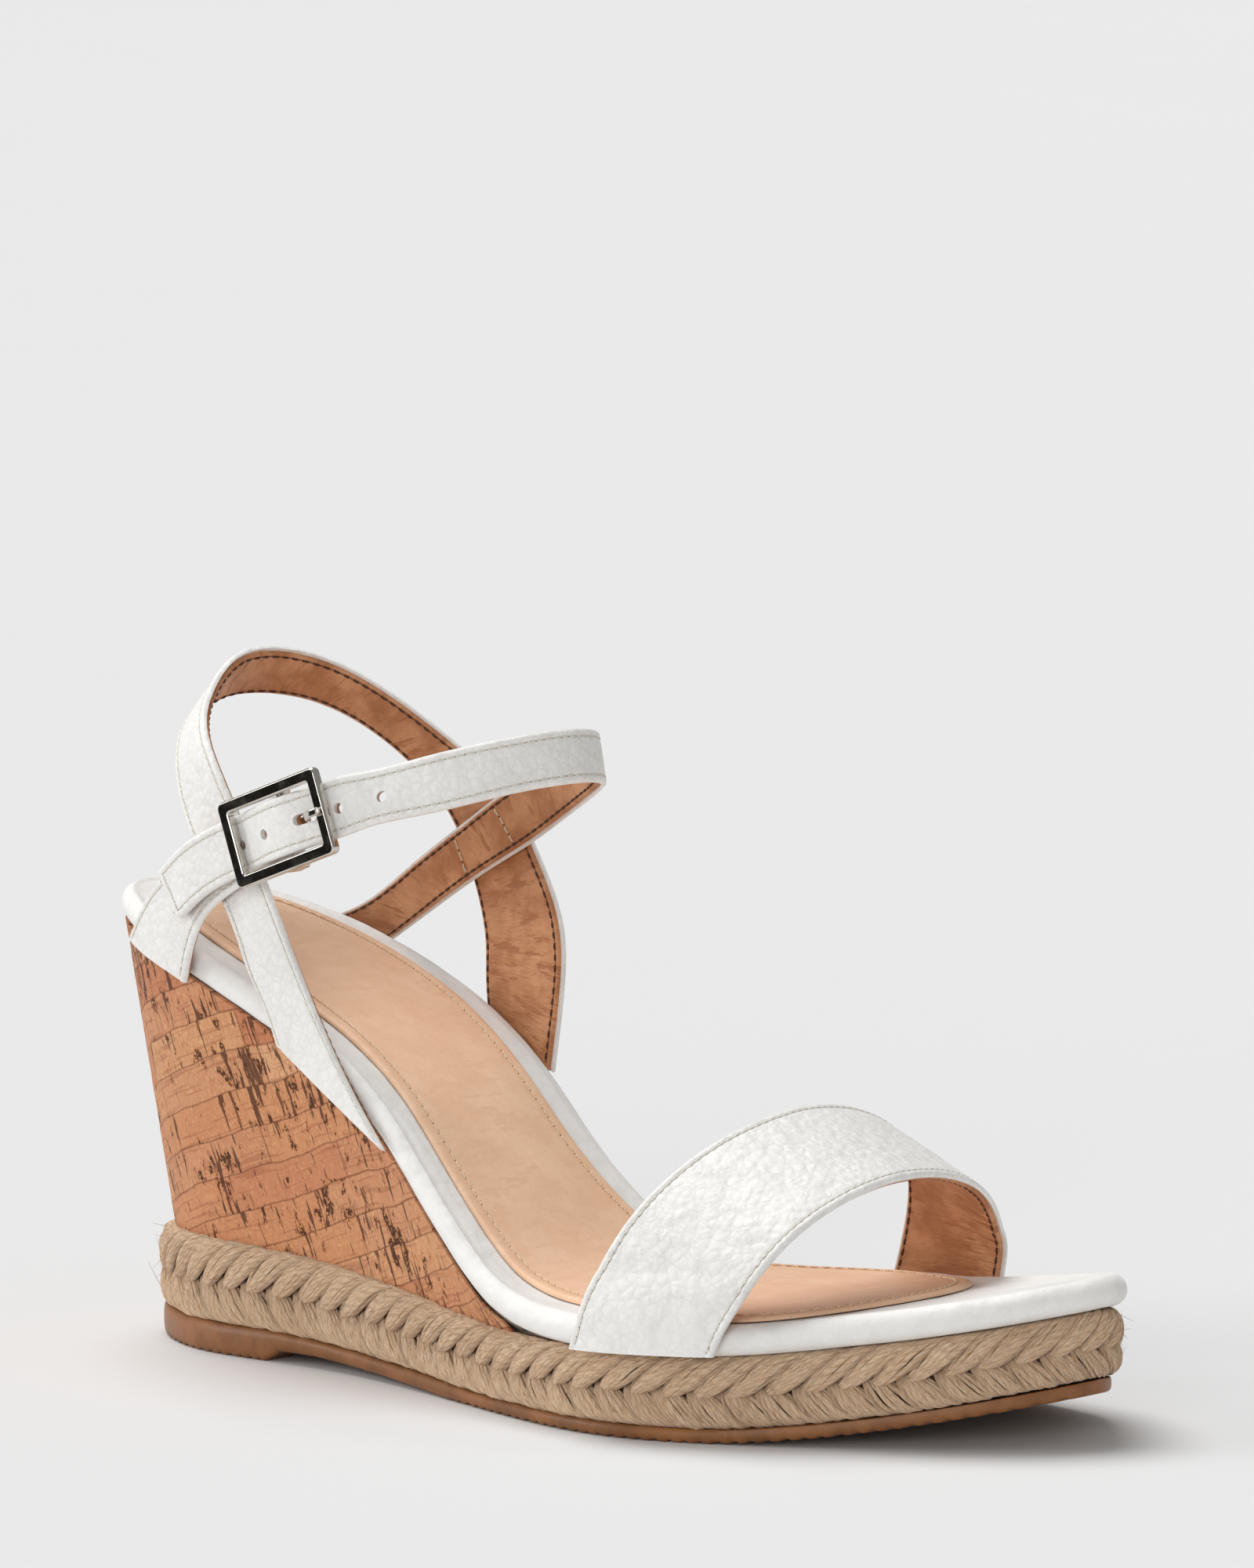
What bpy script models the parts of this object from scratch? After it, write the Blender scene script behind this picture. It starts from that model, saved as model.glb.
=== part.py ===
"""Right-foot espadrille wedge sandal with a slingback and a buckled ankle strap.

Blender 4.5, metres, +Z up, +X towards the toe, +Y towards the inner (medial) side of the foot.
The drawing numbers below are millimetres, measured from the back of the platform at ground level;
the empty "sandal_origin" carries every piece to the middle of the footprint.
"""

from math import cos, pi, radians, sin

import bmesh
import bpy
import numpy as np
from mathutils import Matrix, Vector

MM = 0.001
GAP = 0.3  # clearance left between pieces that touch

# --- platform outline, seen from above (outer face of the braid), heel -> outer side -> toe -> inner side
SOLE_OUTLINE = (
    (0, 0), (8, -14), (30, -26), (60, -28), (95, -36), (130, -48), (160, -52), (190, -40.5),
    (215, -26), (230, -12), (236, 4), (230, 16.5), (215, 31.5), (190, 39), (160, 37.5),
    (130, 24.5), (95, 24), (60, 34), (30, 31), (8, 19.5),
)
SOLE_LENGTH = 236.0
FRAME_X = 114.6  # middle of the overall length
FRAME_Y = -6.2  # middle of the overall width

# --- heights along the length: (x, z) pairs
SEAT_LINE = (
    (-10, 85.4), (10, 81.6), (30, 75.2), (50, 66.8), (70, 57.6), (85, 48.4), (98, 37.6), (110, 28.2),
    (122, 20.8), (133, 17.7), (145, 16.7), (160, 16.5), (180, 16.5), (240, 16.5),
)
BRAID_TOP = ((0, 22.3), (45, 22.5), (70, 20.4), (95, 18.0), (120, 16.1), (145, 16.0), (240, 16.0))
OUTSOLE_TOP = ((0, 6.2), (48, 6.2), (80, 4.3), (115, 2.7), (240, 2.7))
OUTSOLE_BOTTOM = ((0, 0.0), (48, 0.0), (52, 2.3), (62, 2.3), (106, 0.0), (240, 0.0))
TOE_SPRING = 10.5
SPRING_START = 175.0

# --- layer offsets from the outline (negative is inwards)
BRAID_THICKNESS = 3.9
BRAID_INSET = -2.0
OUTSOLE_INSET = -3.5
CORE_INSET = BRAID_INSET - BRAID_THICKNESS - GAP
CORK_THICKNESS = 0.8
RIM_INSET = -1.9
TOE_RIM_INSET = -0.9
TOE_BLEND_START, TOE_BLEND_LENGTH = 195.0, 20.0  # where the rim moves out to its toe inset
HEEL_OVERHANG = 8.8  # how far the footbed reaches behind the platform
OVERHANG_REACH = 150.0

# --- footbed stack, measured up from the seat line
COVER_THICKNESS = 0.8
RIM_HEIGHT = 6.0
BOARD_BOTTOM, BOARD_TOP = 1.1, 2.4
FOAM_BOTTOM, FOAM_EDGE, FOAM_CROWN = 2.7, 4.5, 0.9
INSOCK_BOTTOM, INSOCK_TOP = RIM_HEIGHT + GAP, RIM_HEIGHT + GAP + 0.9
INSOCK_INSET = -8.2
INSOCK_FRONT_START = 150.0
# front edge of the insock, from its outer side round to its inner side
INSOCK_FRONT = (
    (163, -42.5), (175.5, -41), (186, -35.5), (194, -24), (198.2, -9), (197.6, 5), (193, 16),
    (185, 25.3), (173.5, 29.4), (162, 27.5),
)
TOE_PANEL_INSET, TOE_PANEL_X = -8.0, (189.0, 227.0)
TOE_PANEL_BOTTOM, TOE_PANEL_TOP = 5.3, 5.85
WEDGE_FRONT = 128.0
WEDGE_CLEARANCE = 0.6  # between the wedge core and its cork
CORK_TOP_INSET = -0.5
SHANK_X, SHANK_Y = (28.0, 122.0), 1.5
SHANK_WIDTH, SHANK_BOTTOM, SHANK_TOP = 12.0, 0.1, 0.8
FILLER_X = (124.0, 224.5)
BOARD_INSET = -3.2
CROWN_X, CROWN_RAMP = (12.0, 188.0), 14.0

# --- how many sections each long shape is drawn with
SLAB_SECTIONS, INSOCK_SECTIONS, FILLER_SECTIONS, PANEL_SECTIONS = 34, 42, 20, 16
BRAID_SECTIONS, COVER_SECTIONS, CORK_SECTIONS, WEDGE_SECTIONS, SHANK_SECTIONS = 84, 72, 57, 30, 22
END_MARGIN, WEDGE_END_MARGIN = 0.2, 0.4  # ends of a slab, cut just short of the outline's rounded ends

# --- straps: an outer leather and a lining, either side of a middle surface
OUTER_LAYER = (0.1, 1.0)
LINING_LAYER = (-1.0, -0.2)

TOE_BAND_REAR = (
    (150.5, -51.6, 16.6), (152.3, -51.4, 22), (155, -49.5, 31), (159, -44, 41.5), (163, -31, 51.2),
    (165, -15, 56.2), (165, 2, 57.6), (164.5, 18, 55), (164, 30, 49), (162.5, 36.5, 40),
    (160, 38, 29), (157.5, 36.6, 16.6),
)
TOE_BAND_FRONT = (
    (179.5, -45.2, 17.1), (181.2, -45.0, 21), (184.5, -43.3, 27.3), (187.8, -39.5, 34.2),
    (190.8, -29.5, 41.6), (193, -14, 46.4), (192.8, 1, 46.9), (191.3, 14, 44.8), (189.5, 25, 40.5),
    (186.5, 34, 33.5), (184, 38.8, 26), (182.5, 39.4, 17.3),
)
SLING_UPPER = (
    (90.2, -35.2, 46.8), (79.5, -32.2, 57), (69, -29.4, 69.3), (57.5, -27, 86.5), (48.6, -25, 99.8),
    (38, -23.4, 115.3), (27.5, -16.5, 124.5), (20.5, -6, 131.5), (19, 5, 137.5),
    (24.5, 19.6, 136.4), (35.5, 27.6, 129.8), (50.6, 33, 118.8), (62.8, 34.4, 109),
    (72, 33.8, 96.1), (79, 31.8, 83.2), (80.3, 30, 69.9), (79, 28.8, 55),
)
SLING_LOWER = (
    (57, -28.4, 64.4), (53.2, -28.3, 72), (48.5, -27.5, 78), (42.3, -25.8, 87.5), (33, -23.4, 98.5),
    (23.5, -18.8, 108.5), (15.5, -11.5, 118), (9.8, -1, 124.5), (9, 9, 128), (15.5, 19.5, 128),
    (25.3, 26.2, 124.4), (37.9, 32.4, 114.9), (47.5, 34.9, 103.6), (52.9, 35.5, 91.5),
    (56.3, 35, 80.7), (57.2, 34.3, 71.9), (58.5, 33.8, 64),
)
TAB_UPPER = (
    (11, -21.0, 81.4), (15.5, -22.9, 87), (22.3, -24.8, 93.6), (31.5, -26.6, 100), (41.3, -27.5, 105.4),
)
TAB_LOWER = (
    (32, -27.8, 74.6), (33.8, -28, 81), (37.4, -28, 88), (45, -27.8, 93.8), (53, -27.6, 98.4),
)
ANKLE_UPPER = (
    (15, 29.6, 80.8), (26, 32.2, 85.2), (38.8, 33.2, 94.2), (52.2, 31.9, 102.6),
    (64.3, 31.2, 110.2), (77.6, 29.8, 117.1), (90.1, 25.2, 122.5), (100, 16, 125.3),
    (104.2, 3, 126.7), (100.5, -9.5, 125.7), (90, -20, 122.6), (78, -26.6, 119),
)
ANKLE_LOWER = (
    (29.5, 33.4, 75.9), (38.3, 34, 81.7), (48.3, 33.6, 87.9), (59.6, 32.4, 94.2),
    (71.1, 31.4, 100.2), (82.1, 29.2, 106.3), (93.7, 23.6, 111.7), (102.5, 15.5, 115),
    (106.7, 2, 116.3), (102.3, -10.5, 115), (91.5, -21.2, 111.5), (80.5, -27.2, 108.6),
)
FREE_END_UPPER = ((33.5, -29.5, 102.4), (25.3, -28.1, 96.0))
FREE_END_LOWER = ((39.7, -30.4, 92.6), (33.0, -30.8, 87.0))

# --- buckle: its own axes are e (along the strap, forward), w (across the strap, up), o (outwards)
BAR_CENTRE = (60.8, -29.7, 107.4)
BUCKLE_TILT = radians(19.6)
FRAME_LENGTH, FRAME_HEIGHT, FRAME_THICK = 26.8, 17.5, 2.0
FRAME_BAR = 2.5
FRAME_LIFT = 2.1  # underside of the frame above the bar's axis
BAR_RADIUS = 0.8
SLEEVE_RADIUS = 2.1
STRAP_HALF = 5.7
LUG_LENGTH = 3.8
LUG_BOTTOM = -1.35
LUG_THICK = FRAME_BAR - 0.1
LUG_OVERLAP = 0.5  # how far a lug reaches up into the frame
BORE_CLEARANCE = 0.3
BAR_LENGTH = FRAME_HEIGHT - 0.6
PRONG_WIDTH, PRONG_THICK = 1.5, 0.9
PRONG_LOOP = 1.55
SLOT_WIDTH = 2.5
SLOT_REAR, SLOT_FRONT = -2.55, 3.4
SLOT_DEPTH, SLOT_MIDDLE = 6.0, 0.8
HOLE_PITCH = 8.8
HOLE_RADIUS = 1.05
USED_HOLE_E = 7.0
USED_HOLE_O = 1.5
USED_HOLE_LENGTH = 4.8
# (e, o) of the strap's middle surface where it threads under, over and under the buckle
STRAP_THROUGH_BUCKLE = (
    (15.5, -0.6), (11.4, 0.15), (8.5, 0.95), (5.5, 2.15), (3.0, 3.05), (0.0, 3.4), (-3.0, 3.1),
    (-5.5, 2.3), (-8.5, 1.3), (-11.4, 0.45), (-15.0, 0.35),
)

# --- colours (linear) and finish of each material: colour, roughness, metallic
MATERIALS = {
    "rubber_outsole": ((0.17, 0.075, 0.032), 0.55, 0.0),
    "core_foam": ((0.30, 0.27, 0.22), 0.9, 0.0),
    "jute": ((0.56, 0.42, 0.27), 0.9, 0.0),
    "cork": ((0.48, 0.22, 0.10), 0.7, 0.0),
    "white_leather": ((0.84, 0.82, 0.78), 0.5, 0.0),
    "tan_lining": ((0.46, 0.24, 0.12), 0.55, 0.0),
    "insock_tan": ((0.62, 0.38, 0.22), 0.5, 0.0),
    "fibreboard": ((0.35, 0.27, 0.18), 0.9, 0.0),
    "spring_steel": ((0.45, 0.45, 0.47), 0.35, 1.0),
    "nickel": ((0.80, 0.79, 0.77), 0.12, 1.0),
}


# ---------------------------------------------------------------- curves
def spline(knots, values, at, closed=False):
    """Cubic spline through values at knots: natural at open ends, smooth all round when closed."""
    t = np.asarray(knots, float)
    v = np.asarray(values, float).reshape(len(t), -1)
    n = len(t)
    h = np.diff(t)
    a = np.eye(n)
    b = np.zeros_like(v)
    for i in range(1, n - 1):
        a[i, i - 1 : i + 2] = h[i - 1], 2 * (h[i - 1] + h[i]), h[i]
        b[i] = 6 * ((v[i + 1] - v[i]) / h[i] - (v[i] - v[i - 1]) / h[i - 1])
    if closed:
        a[0, :2] = 2 * (h[-1] + h[0]), h[0]
        a[0, n - 2] = h[-1]
        b[0] = 6 * ((v[1] - v[0]) / h[0] - (v[0] - v[n - 2]) / h[-1])
        a[n - 1, 0], a[n - 1, n - 1] = -1, 1
    m = np.linalg.solve(a, b)
    x = np.asarray(at, float)
    k = np.clip(np.searchsorted(t, x) - 1, 0, n - 2)
    p, q = (t[k + 1] - x)[:, None], (x - t[k])[:, None]
    hk = h[k][:, None]
    cubic = (m[k] * p**3 + m[k + 1] * q**3) / (6 * hk)
    return cubic + (v[k] / hk - m[k] * hk / 6) * p + (v[k + 1] / hk - m[k + 1] * hk / 6) * q


def chord_knots(points, power):
    steps = np.linalg.norm(np.diff(points, axis=0), axis=1) ** power
    return np.concatenate([[0], np.cumsum(steps)])


def smooth_curve(points, count, power=0.7):
    points = np.asarray(points, float)
    knots = chord_knots(points, power)
    return spline(knots, points, np.linspace(0, knots[-1], count))


def smooth_edges(upper, lower, count, power=0.7):
    """Both edges of a strap, sampled together so that the lines across it stay square."""
    upper, lower = np.asarray(upper, float), np.asarray(lower, float)
    knots = (chord_knots(upper, power) + chord_knots(lower, power)) / 2
    at = np.linspace(0, knots[-1], count)
    return spline(knots, upper, at), spline(knots, lower, at)


def height(profile, x):
    xs, zs = zip(*profile)
    return spline(xs, zs, np.atleast_1d(x))[:, 0]


def toe_spring(x):
    lift = np.clip((np.atleast_1d(x) - SPRING_START) / (SOLE_LENGTH - SPRING_START), 0, None)
    return TOE_SPRING * lift**1.5


def seat(x):
    return height(SEAT_LINE, x) + toe_spring(x)


def braid_top(x):
    return height(BRAID_TOP, x) + toe_spring(x)


def outsole_top(x):
    xs, zs = zip(*OUTSOLE_TOP)
    return np.interp(x, xs, zs) + toe_spring(x)


def outsole_bottom(x):
    xs, zs = zip(*OUTSOLE_BOTTOM)
    return np.interp(x, xs, zs) + toe_spring(x)


def braid_bottom(x):
    return outsole_top(x) + GAP


def outline(offset, overhang=0.0, toe_offset=None, count=720):
    """The closed outline moved outwards by offset; overhang draws its heel part backwards."""
    points = np.array(SOLE_OUTLINE + SOLE_OUTLINE[:1], float)
    knots = chord_knots(points, 0.5)
    path = spline(knots, points, np.linspace(0, knots[-1], count + 1)[:-1], closed=True)
    ahead = np.roll(path, -1, axis=0) - np.roll(path, 1, axis=0)
    ahead /= np.linalg.norm(ahead, axis=1)[:, None]
    normal = np.stack([ahead[:, 1], -ahead[:, 0]], axis=1)
    amount = np.full(count, float(offset))
    if toe_offset is not None:
        share = np.clip((path[:, 0] - TOE_BLEND_START) / TOE_BLEND_LENGTH, 0, 1)
        amount += (toe_offset - RIM_INSET) * share
    path = path + normal * amount[:, None]
    share = np.clip(1 - path[:, 0] / OVERHANG_REACH, 0, 1.2)
    path[:, 0] -= overhang * share**1.5
    return path, normal


def rim_outline(offset, count=720):
    """Outline of the footbed, offset from the outermost line of its rim."""
    return outline(RIM_INSET + offset, HEEL_OVERHANG, TOE_RIM_INSET, count)


def part_behind(path, x):
    """The stretch of a closed path behind x, from one side round the heel to the other."""
    behind = path[:, 0] < x
    start = int(np.where(behind & ~np.roll(behind, 1))[0][0])
    return np.roll(path, -start, axis=0)[np.roll(behind, -start)]


def insock_outline():
    """Outline of the insock: the footbed's, inset, with its own blunt front."""
    heel_part = part_behind(rim_outline(INSOCK_INSET)[0], INSOCK_FRONT_START)
    front = np.vstack([heel_part[-1:], INSOCK_FRONT, heel_part[:1]])
    return np.vstack([heel_part, smooth_curve(front, 200)[1:-1]])


def sides(path, xs):
    """y of the outer and inner side of a closed path at each x."""
    first, last = path[:, 0].argmin(), path[:, 0].argmax()
    path = np.roll(path, -first, axis=0)
    last = (last - first) % len(path)
    outer, inner = path[: last + 1], np.vstack([path[last:], path[:1]])[::-1]
    return np.interp(xs, outer[:, 0], outer[:, 1]), np.interp(xs, inner[:, 0], inner[:, 1])


def stations(low, high, count, extra=()):
    """x positions that crowd towards both rounded ends."""
    turn = np.linspace(0, pi, count)
    xs = low + (high - low) * (1 - np.cos(turn)) / 2
    return np.unique(np.concatenate([xs, extra]))


# ---------------------------------------------------------------- objects
def material(name):
    if name in bpy.data.materials:
        return bpy.data.materials[name]
    colour, roughness, metallic = MATERIALS[name]
    made = bpy.data.materials.new(name)
    made.use_nodes = True
    shader = made.node_tree.nodes["Principled BSDF"]
    shader.inputs["Base Color"].default_value = (*colour, 1)
    shader.inputs["Roughness"].default_value = roughness
    shader.inputs["Metallic"].default_value = metallic
    made.diffuse_color = (*colour, 1)
    return made


def add_object(name, bm, look, parent, smooth_angle=radians(40)):
    bmesh.ops.recalc_face_normals(bm, faces=bm.faces)
    mesh = bpy.data.meshes.new(name)
    bm.to_mesh(mesh)
    bm.free()
    mesh.materials.append(material(look))
    mesh.shade_smooth()
    mesh.set_sharp_from_angle(angle=smooth_angle)
    obj = bpy.data.objects.new(name, mesh)
    bpy.context.collection.objects.link(obj)
    obj.parent = parent
    return obj


def loft(rings, closed_path=False):
    """Skin through equal rings of points (mm); open lofts get a cap at each end."""
    bm = bmesh.new()
    verts = [[bm.verts.new(Vector(p) * MM) for p in ring] for ring in rings]
    count = len(verts)
    for i in range(count if closed_path else count - 1):
        here, there = verts[i], verts[(i + 1) % count]
        for k in range(len(here)):
            n = (k + 1) % len(here)
            bm.faces.new((here[k], here[n], there[n], there[k]))
    if not closed_path:
        bm.faces.new(verts[0])
        bm.faces.new(verts[-1])
    return bm


def slab(path, low, high, count, extra=(), across=(0.0, 1.0), x_range=None, crown=None):
    """Solid plate inside a closed path, between two height functions of x."""
    start, end = x_range or (path[:, 0].min() + END_MARGIN, path[:, 0].max() - END_MARGIN)
    xs = stations(start, end, count, extra)
    outer, inner = sides(path, xs)
    z_low, z_high = low(xs), high(xs)
    rings = []
    for i, x in enumerate(xs):
        ys = [outer[i] + (inner[i] - outer[i]) * f for f in across]
        top = [z_high[i] + (crown(x, f) if crown else 0.0) for f in across]
        ring = [(x, y, z_low[i]) for y in ys]
        ring += [(x, y, z) for y, z in reversed(list(zip(ys, top)))]
        rings.append(ring)
    return loft(rings)


def even_path(path_and_normal, count):
    """count points evenly spaced round a closed path, with their outward normals."""
    path, normal = path_and_normal
    loop = np.vstack([path, path[:1]])
    length = chord_knots(loop, 1.0)
    at = np.linspace(0, length[-1], count + 1)[:-1]
    xy = np.stack([np.interp(at, length, loop[:, k]) for k in (0, 1)], axis=1)
    turned = np.vstack([normal, normal[:1]])
    out = np.stack([np.interp(at, length, turned[:, k]) for k in (0, 1)], axis=1)
    return xy, out / np.linalg.norm(out, axis=1)[:, None]


def ring_sweep(path_and_normal, count, section, low, high):
    """Closed ring; section lists (outwards, share of the way from low(x) to high(x)) pairs."""
    xy, out = even_path(path_and_normal, count)
    columns = []
    for outwards, share in section:
        at = xy + out * outwards
        bottom, top = low(at[:, 0]), high(at[:, 0])
        columns.append(np.column_stack([at, bottom + (top - bottom) * share]))
    rings = np.stack(columns, axis=1)
    return loft([list(map(tuple, ring)) for ring in rings], closed_path=True)


def across_ribbon(upper, lower, lines):
    """Grid of points (along, across) between a ribbon's two edges."""
    share = np.linspace(0, 1, lines)[None, :, None]
    return upper[:, None] * (1 - share) + lower[:, None] * share


def ribbon(grid, layer, side=1.0):
    """Strap layer between two distances from the ribbon's middle surface."""
    normal = np.cross(np.gradient(grid, axis=0), -np.gradient(grid, axis=1)) * side
    normal /= np.linalg.norm(normal, axis=2)[:, :, None]
    inside, outside = (grid + normal * distance for distance in layer)
    rings = np.concatenate([outside, inside[:, ::-1]], axis=1)
    return loft([list(map(tuple, ring)) for ring in rings])


def cylinder(radius, depth, matrix, segments=16):
    bm = bmesh.new()
    bmesh.ops.create_cone(
        bm, cap_ends=True, segments=segments, radius1=radius * MM, radius2=radius * MM, depth=depth * MM
    )
    bmesh.ops.transform(bm, matrix=matrix, verts=bm.verts)
    return bm


def box(size, centre):
    bm = bmesh.new()
    bmesh.ops.create_cube(bm, size=1.0)
    bmesh.ops.scale(bm, vec=Vector(size) * MM, verts=bm.verts)
    bmesh.ops.translate(bm, vec=Vector(centre) * MM, verts=bm.verts)
    return bm


def join(parts):
    """One bmesh holding several separate shapes."""
    whole = bmesh.new()
    for bm in parts:
        mesh = bpy.data.meshes.new("part_of_cutter")
        bm.to_mesh(mesh)
        bm.free()
        whole.from_mesh(mesh)
        bpy.data.meshes.remove(mesh)
    return whole


def cut(obj, cutter, operation="DIFFERENCE"):
    cutter.hide_render = True
    cutter.display_type = "WIRE"
    modifier = obj.modifiers.new(operation.lower(), "BOOLEAN")
    modifier.object = cutter
    modifier.operation = operation
    modifier.solver = "EXACT"


# ---------------------------------------------------------------- scene
for old in list(bpy.data.objects):
    bpy.data.objects.remove(old, do_unlink=True)

origin = bpy.data.objects.new("sandal_origin", None)
bpy.context.collection.objects.link(origin)
origin.location = Vector((-FRAME_X, -FRAME_Y, 0)) * MM

# Outsole: moulded rubber with a raised heel block, a hollow waist and toe spring.
sole_path = outline(OUTSOLE_INSET)[0]
block_edges = [x for x, _ in OUTSOLE_BOTTOM[1:-1]]
bm = slab(sole_path, outsole_bottom, outsole_top, SLAB_SECTIONS, extra=block_edges)
add_object("outsole", bm, "rubber_outsole", origin)

# Platform core: the rigid layer that the braid is wound round.
core_path = outline(CORE_INSET)[0]
bm = slab(core_path, braid_bottom, braid_top, SLAB_SECTIONS)
add_object("platform_core", bm, "core_foam", origin)

# Jute braid: two plaited rows, one above the other, all the way round.
BRAID_SECTION = (
    (-BRAID_THICKNESS, 0), (-1.4, 0), (0, 0.24), (-0.9, 0.5), (0, 0.76), (-1.4, 1.0), (-BRAID_THICKNESS, 1.0),
)
bm = ring_sweep(outline(BRAID_INSET), BRAID_SECTIONS, BRAID_SECTION, braid_bottom, braid_top)
add_object("jute_braid", bm, "jute", origin)


# Wedge: its walls lean from the platform out to the overhanging footbed.
def wall_points(path_and_normal, count):
    """Points of a closed path from the wedge's front edge round the heel to its front edge."""
    kept = part_behind(path_and_normal[0], WEDGE_FRONT)
    knots = chord_knots(kept, 1.0)
    at = np.linspace(0, knots[-1], count)
    return np.stack([np.interp(at, knots, kept[:, k]) for k in (0, 1)], axis=1)


base_out = wall_points(outline(CORE_INSET), CORK_SECTIONS)
base_in = wall_points(outline(CORE_INSET - CORK_THICKNESS), CORK_SECTIONS)
top_out = wall_points(rim_outline(CORK_TOP_INSET), CORK_SECTIONS)
top_in = wall_points(rim_outline(CORK_TOP_INSET - CORK_THICKNESS), CORK_SECTIONS)
z_base = braid_top(base_out[:, 0]) + GAP
z_top = seat(top_out[:, 0]) - GAP
corners = ((base_out, z_base), (top_out, z_top), (top_in, z_top), (base_in, z_base))
rings = [[(*xy[i], z[i]) for xy, z in corners] for i in range(CORK_SECTIONS)]
add_object("cork_wrap", loft(rings), "cork", origin)

# Wedge core: the block under the heel and waist, inside the cork.
inside = -CORK_THICKNESS - WEDGE_CLEARANCE
base_path, top_path = outline(CORE_INSET + inside)[0], rim_outline(CORK_TOP_INSET + inside)[0]
base_x = stations(base_path[:, 0].min() + WEDGE_END_MARGIN, WEDGE_FRONT, WEDGE_SECTIONS)
top_x = stations(top_path[:, 0].min() + WEDGE_END_MARGIN, WEDGE_FRONT, WEDGE_SECTIONS)
base_sides, top_sides = sides(base_path, base_x), sides(top_path, top_x)
z_base, z_top = braid_top(base_x) + GAP, seat(top_x) - GAP
rings = []
for i in range(len(base_x)):
    ring = [(base_x[i], y[i], z_base[i]) for y in base_sides]
    ring += [(top_x[i], y[i], z_top[i]) for y in reversed(top_sides)]
    rings.append(ring)
wedge_core = add_object("wedge_core", loft(rings), "core_foam", origin)

# Footbed cover: leather turned round the edge, with a flange above and below.
FLANGE = -9.0
TOP_FLANGE = -11.0
COVER_OUTSIDE = (
    (FLANGE, 0), (-2.4, 0), (-0.7, 0.9), (0, 2.8), (-0.6, 4.6), (-2.6, 5.7), (TOP_FLANGE, RIM_HEIGHT),
)
COVER_INSIDE = (
    (TOP_FLANGE, RIM_HEIGHT - COVER_THICKNESS), (-3.0, 4.9), (-1.3, 4.1), (-0.8, 2.8),
    (-1.3, 1.5), (-2.8, COVER_THICKNESS), (FLANGE, COVER_THICKNESS),
)


def above_seat(lift):
    return lambda x: seat(x) + lift


bm = ring_sweep(rim_outline(0.0), COVER_SECTIONS, COVER_OUTSIDE + COVER_INSIDE, above_seat(0), above_seat(1))
cover = add_object("footbed_cover", bm, "white_leather", origin)


def inset_slab(inset, low, high, count, **shape):
    path = rim_outline(inset)[0]
    return slab(path, above_seat(low), above_seat(high), count, **shape)


# The cover closes over the toe, in front of the insock.
bm = inset_slab(TOE_PANEL_INSET, TOE_PANEL_BOTTOM, TOE_PANEL_TOP, PANEL_SECTIONS, x_range=TOE_PANEL_X)
cut(cover, add_object("toe_panel", bm, "white_leather", origin), "UNION")

# Bottom filler, shank and insole board, from the wedge upwards.
bm = inset_slab(FLANGE - GAP, GAP, COVER_THICKNESS, FILLER_SECTIONS, x_range=FILLER_X)
add_object("bottom_filler", bm, "core_foam", origin)


xs = np.linspace(*SHANK_X, SHANK_SECTIONS)
left, right = SHANK_Y - SHANK_WIDTH / 2, SHANK_Y + SHANK_WIDTH / 2
rings = []
for x, z in zip(xs, seat(xs)):
    low, high = z + SHANK_BOTTOM, z + SHANK_TOP
    rings.append([(x, left, low), (x, right, low), (x, right, high), (x, left, high)])
add_object("shank", loft(rings), "spring_steel", origin)
bm = inset_slab(BOARD_INSET, BOARD_BOTTOM, BOARD_TOP, SLAB_SECTIONS)
board = add_object("insole_board", bm, "fibreboard", origin)


# Footbed foam: thin under the cover's flange, crowned where the insock rests on it.
def foam_crown(x, f):
    ends = min(1.0, max(0.0, (x - CROWN_X[0]) / CROWN_RAMP), max(0.0, (CROWN_X[1] - x) / CROWN_RAMP))
    return FOAM_CROWN * ends if 0.25 < f < 0.75 else 0.0


foam_lines = (0.0, 0.2, 0.32, 0.5, 0.68, 0.8, 1.0)
bm = inset_slab(BOARD_INSET, FOAM_BOTTOM, FOAM_EDGE, SLAB_SECTIONS, across=foam_lines, crown=foam_crown)
add_object("footbed_foam", bm, "core_foam", origin)
bm = slab(insock_outline(), above_seat(INSOCK_BOTTOM), above_seat(INSOCK_TOP), INSOCK_SECTIONS)
add_object("insock", bm, "insock_tan", origin)

# Heel screw and nails, driven from the footbed into the wedge, square to the heel seat.
FASTENERS = {
    "heel_screw": (16.0, 2.5, 1.7, 24.0, 3.6),
    "heel_nail_outer_rear": (8.0, -5.0, 0.8, 17.0, 2.1),
    "heel_nail_inner_rear": (8.0, 9.5, 0.8, 17.0, 2.1),
    "heel_nail_outer_front": (24.5, -11.0, 0.8, 17.0, 2.1),
    "heel_nail_inner_front": (24.5, 15.0, 0.8, 17.0, 2.1),
}
HEAD_THICK = 0.7
HEAD_CLEARANCE = 0.35
ABOVE_HEAD = 3.0  # the bores open upwards past the top of the insole board
FASTENER_SIDES = 10


def head_matrix(x, y):
    """Frame with its origin on top of the insole board and its z along the seat's normal."""
    slope = float((seat(x + 1) - seat(x - 1))[0]) / 2
    tilt = Matrix.Rotation(-np.arctan(slope), 4, "Y")
    return Matrix.Translation(Vector((x, y, float(seat(x)[0]) + BOARD_TOP)) * MM) @ tilt


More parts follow.
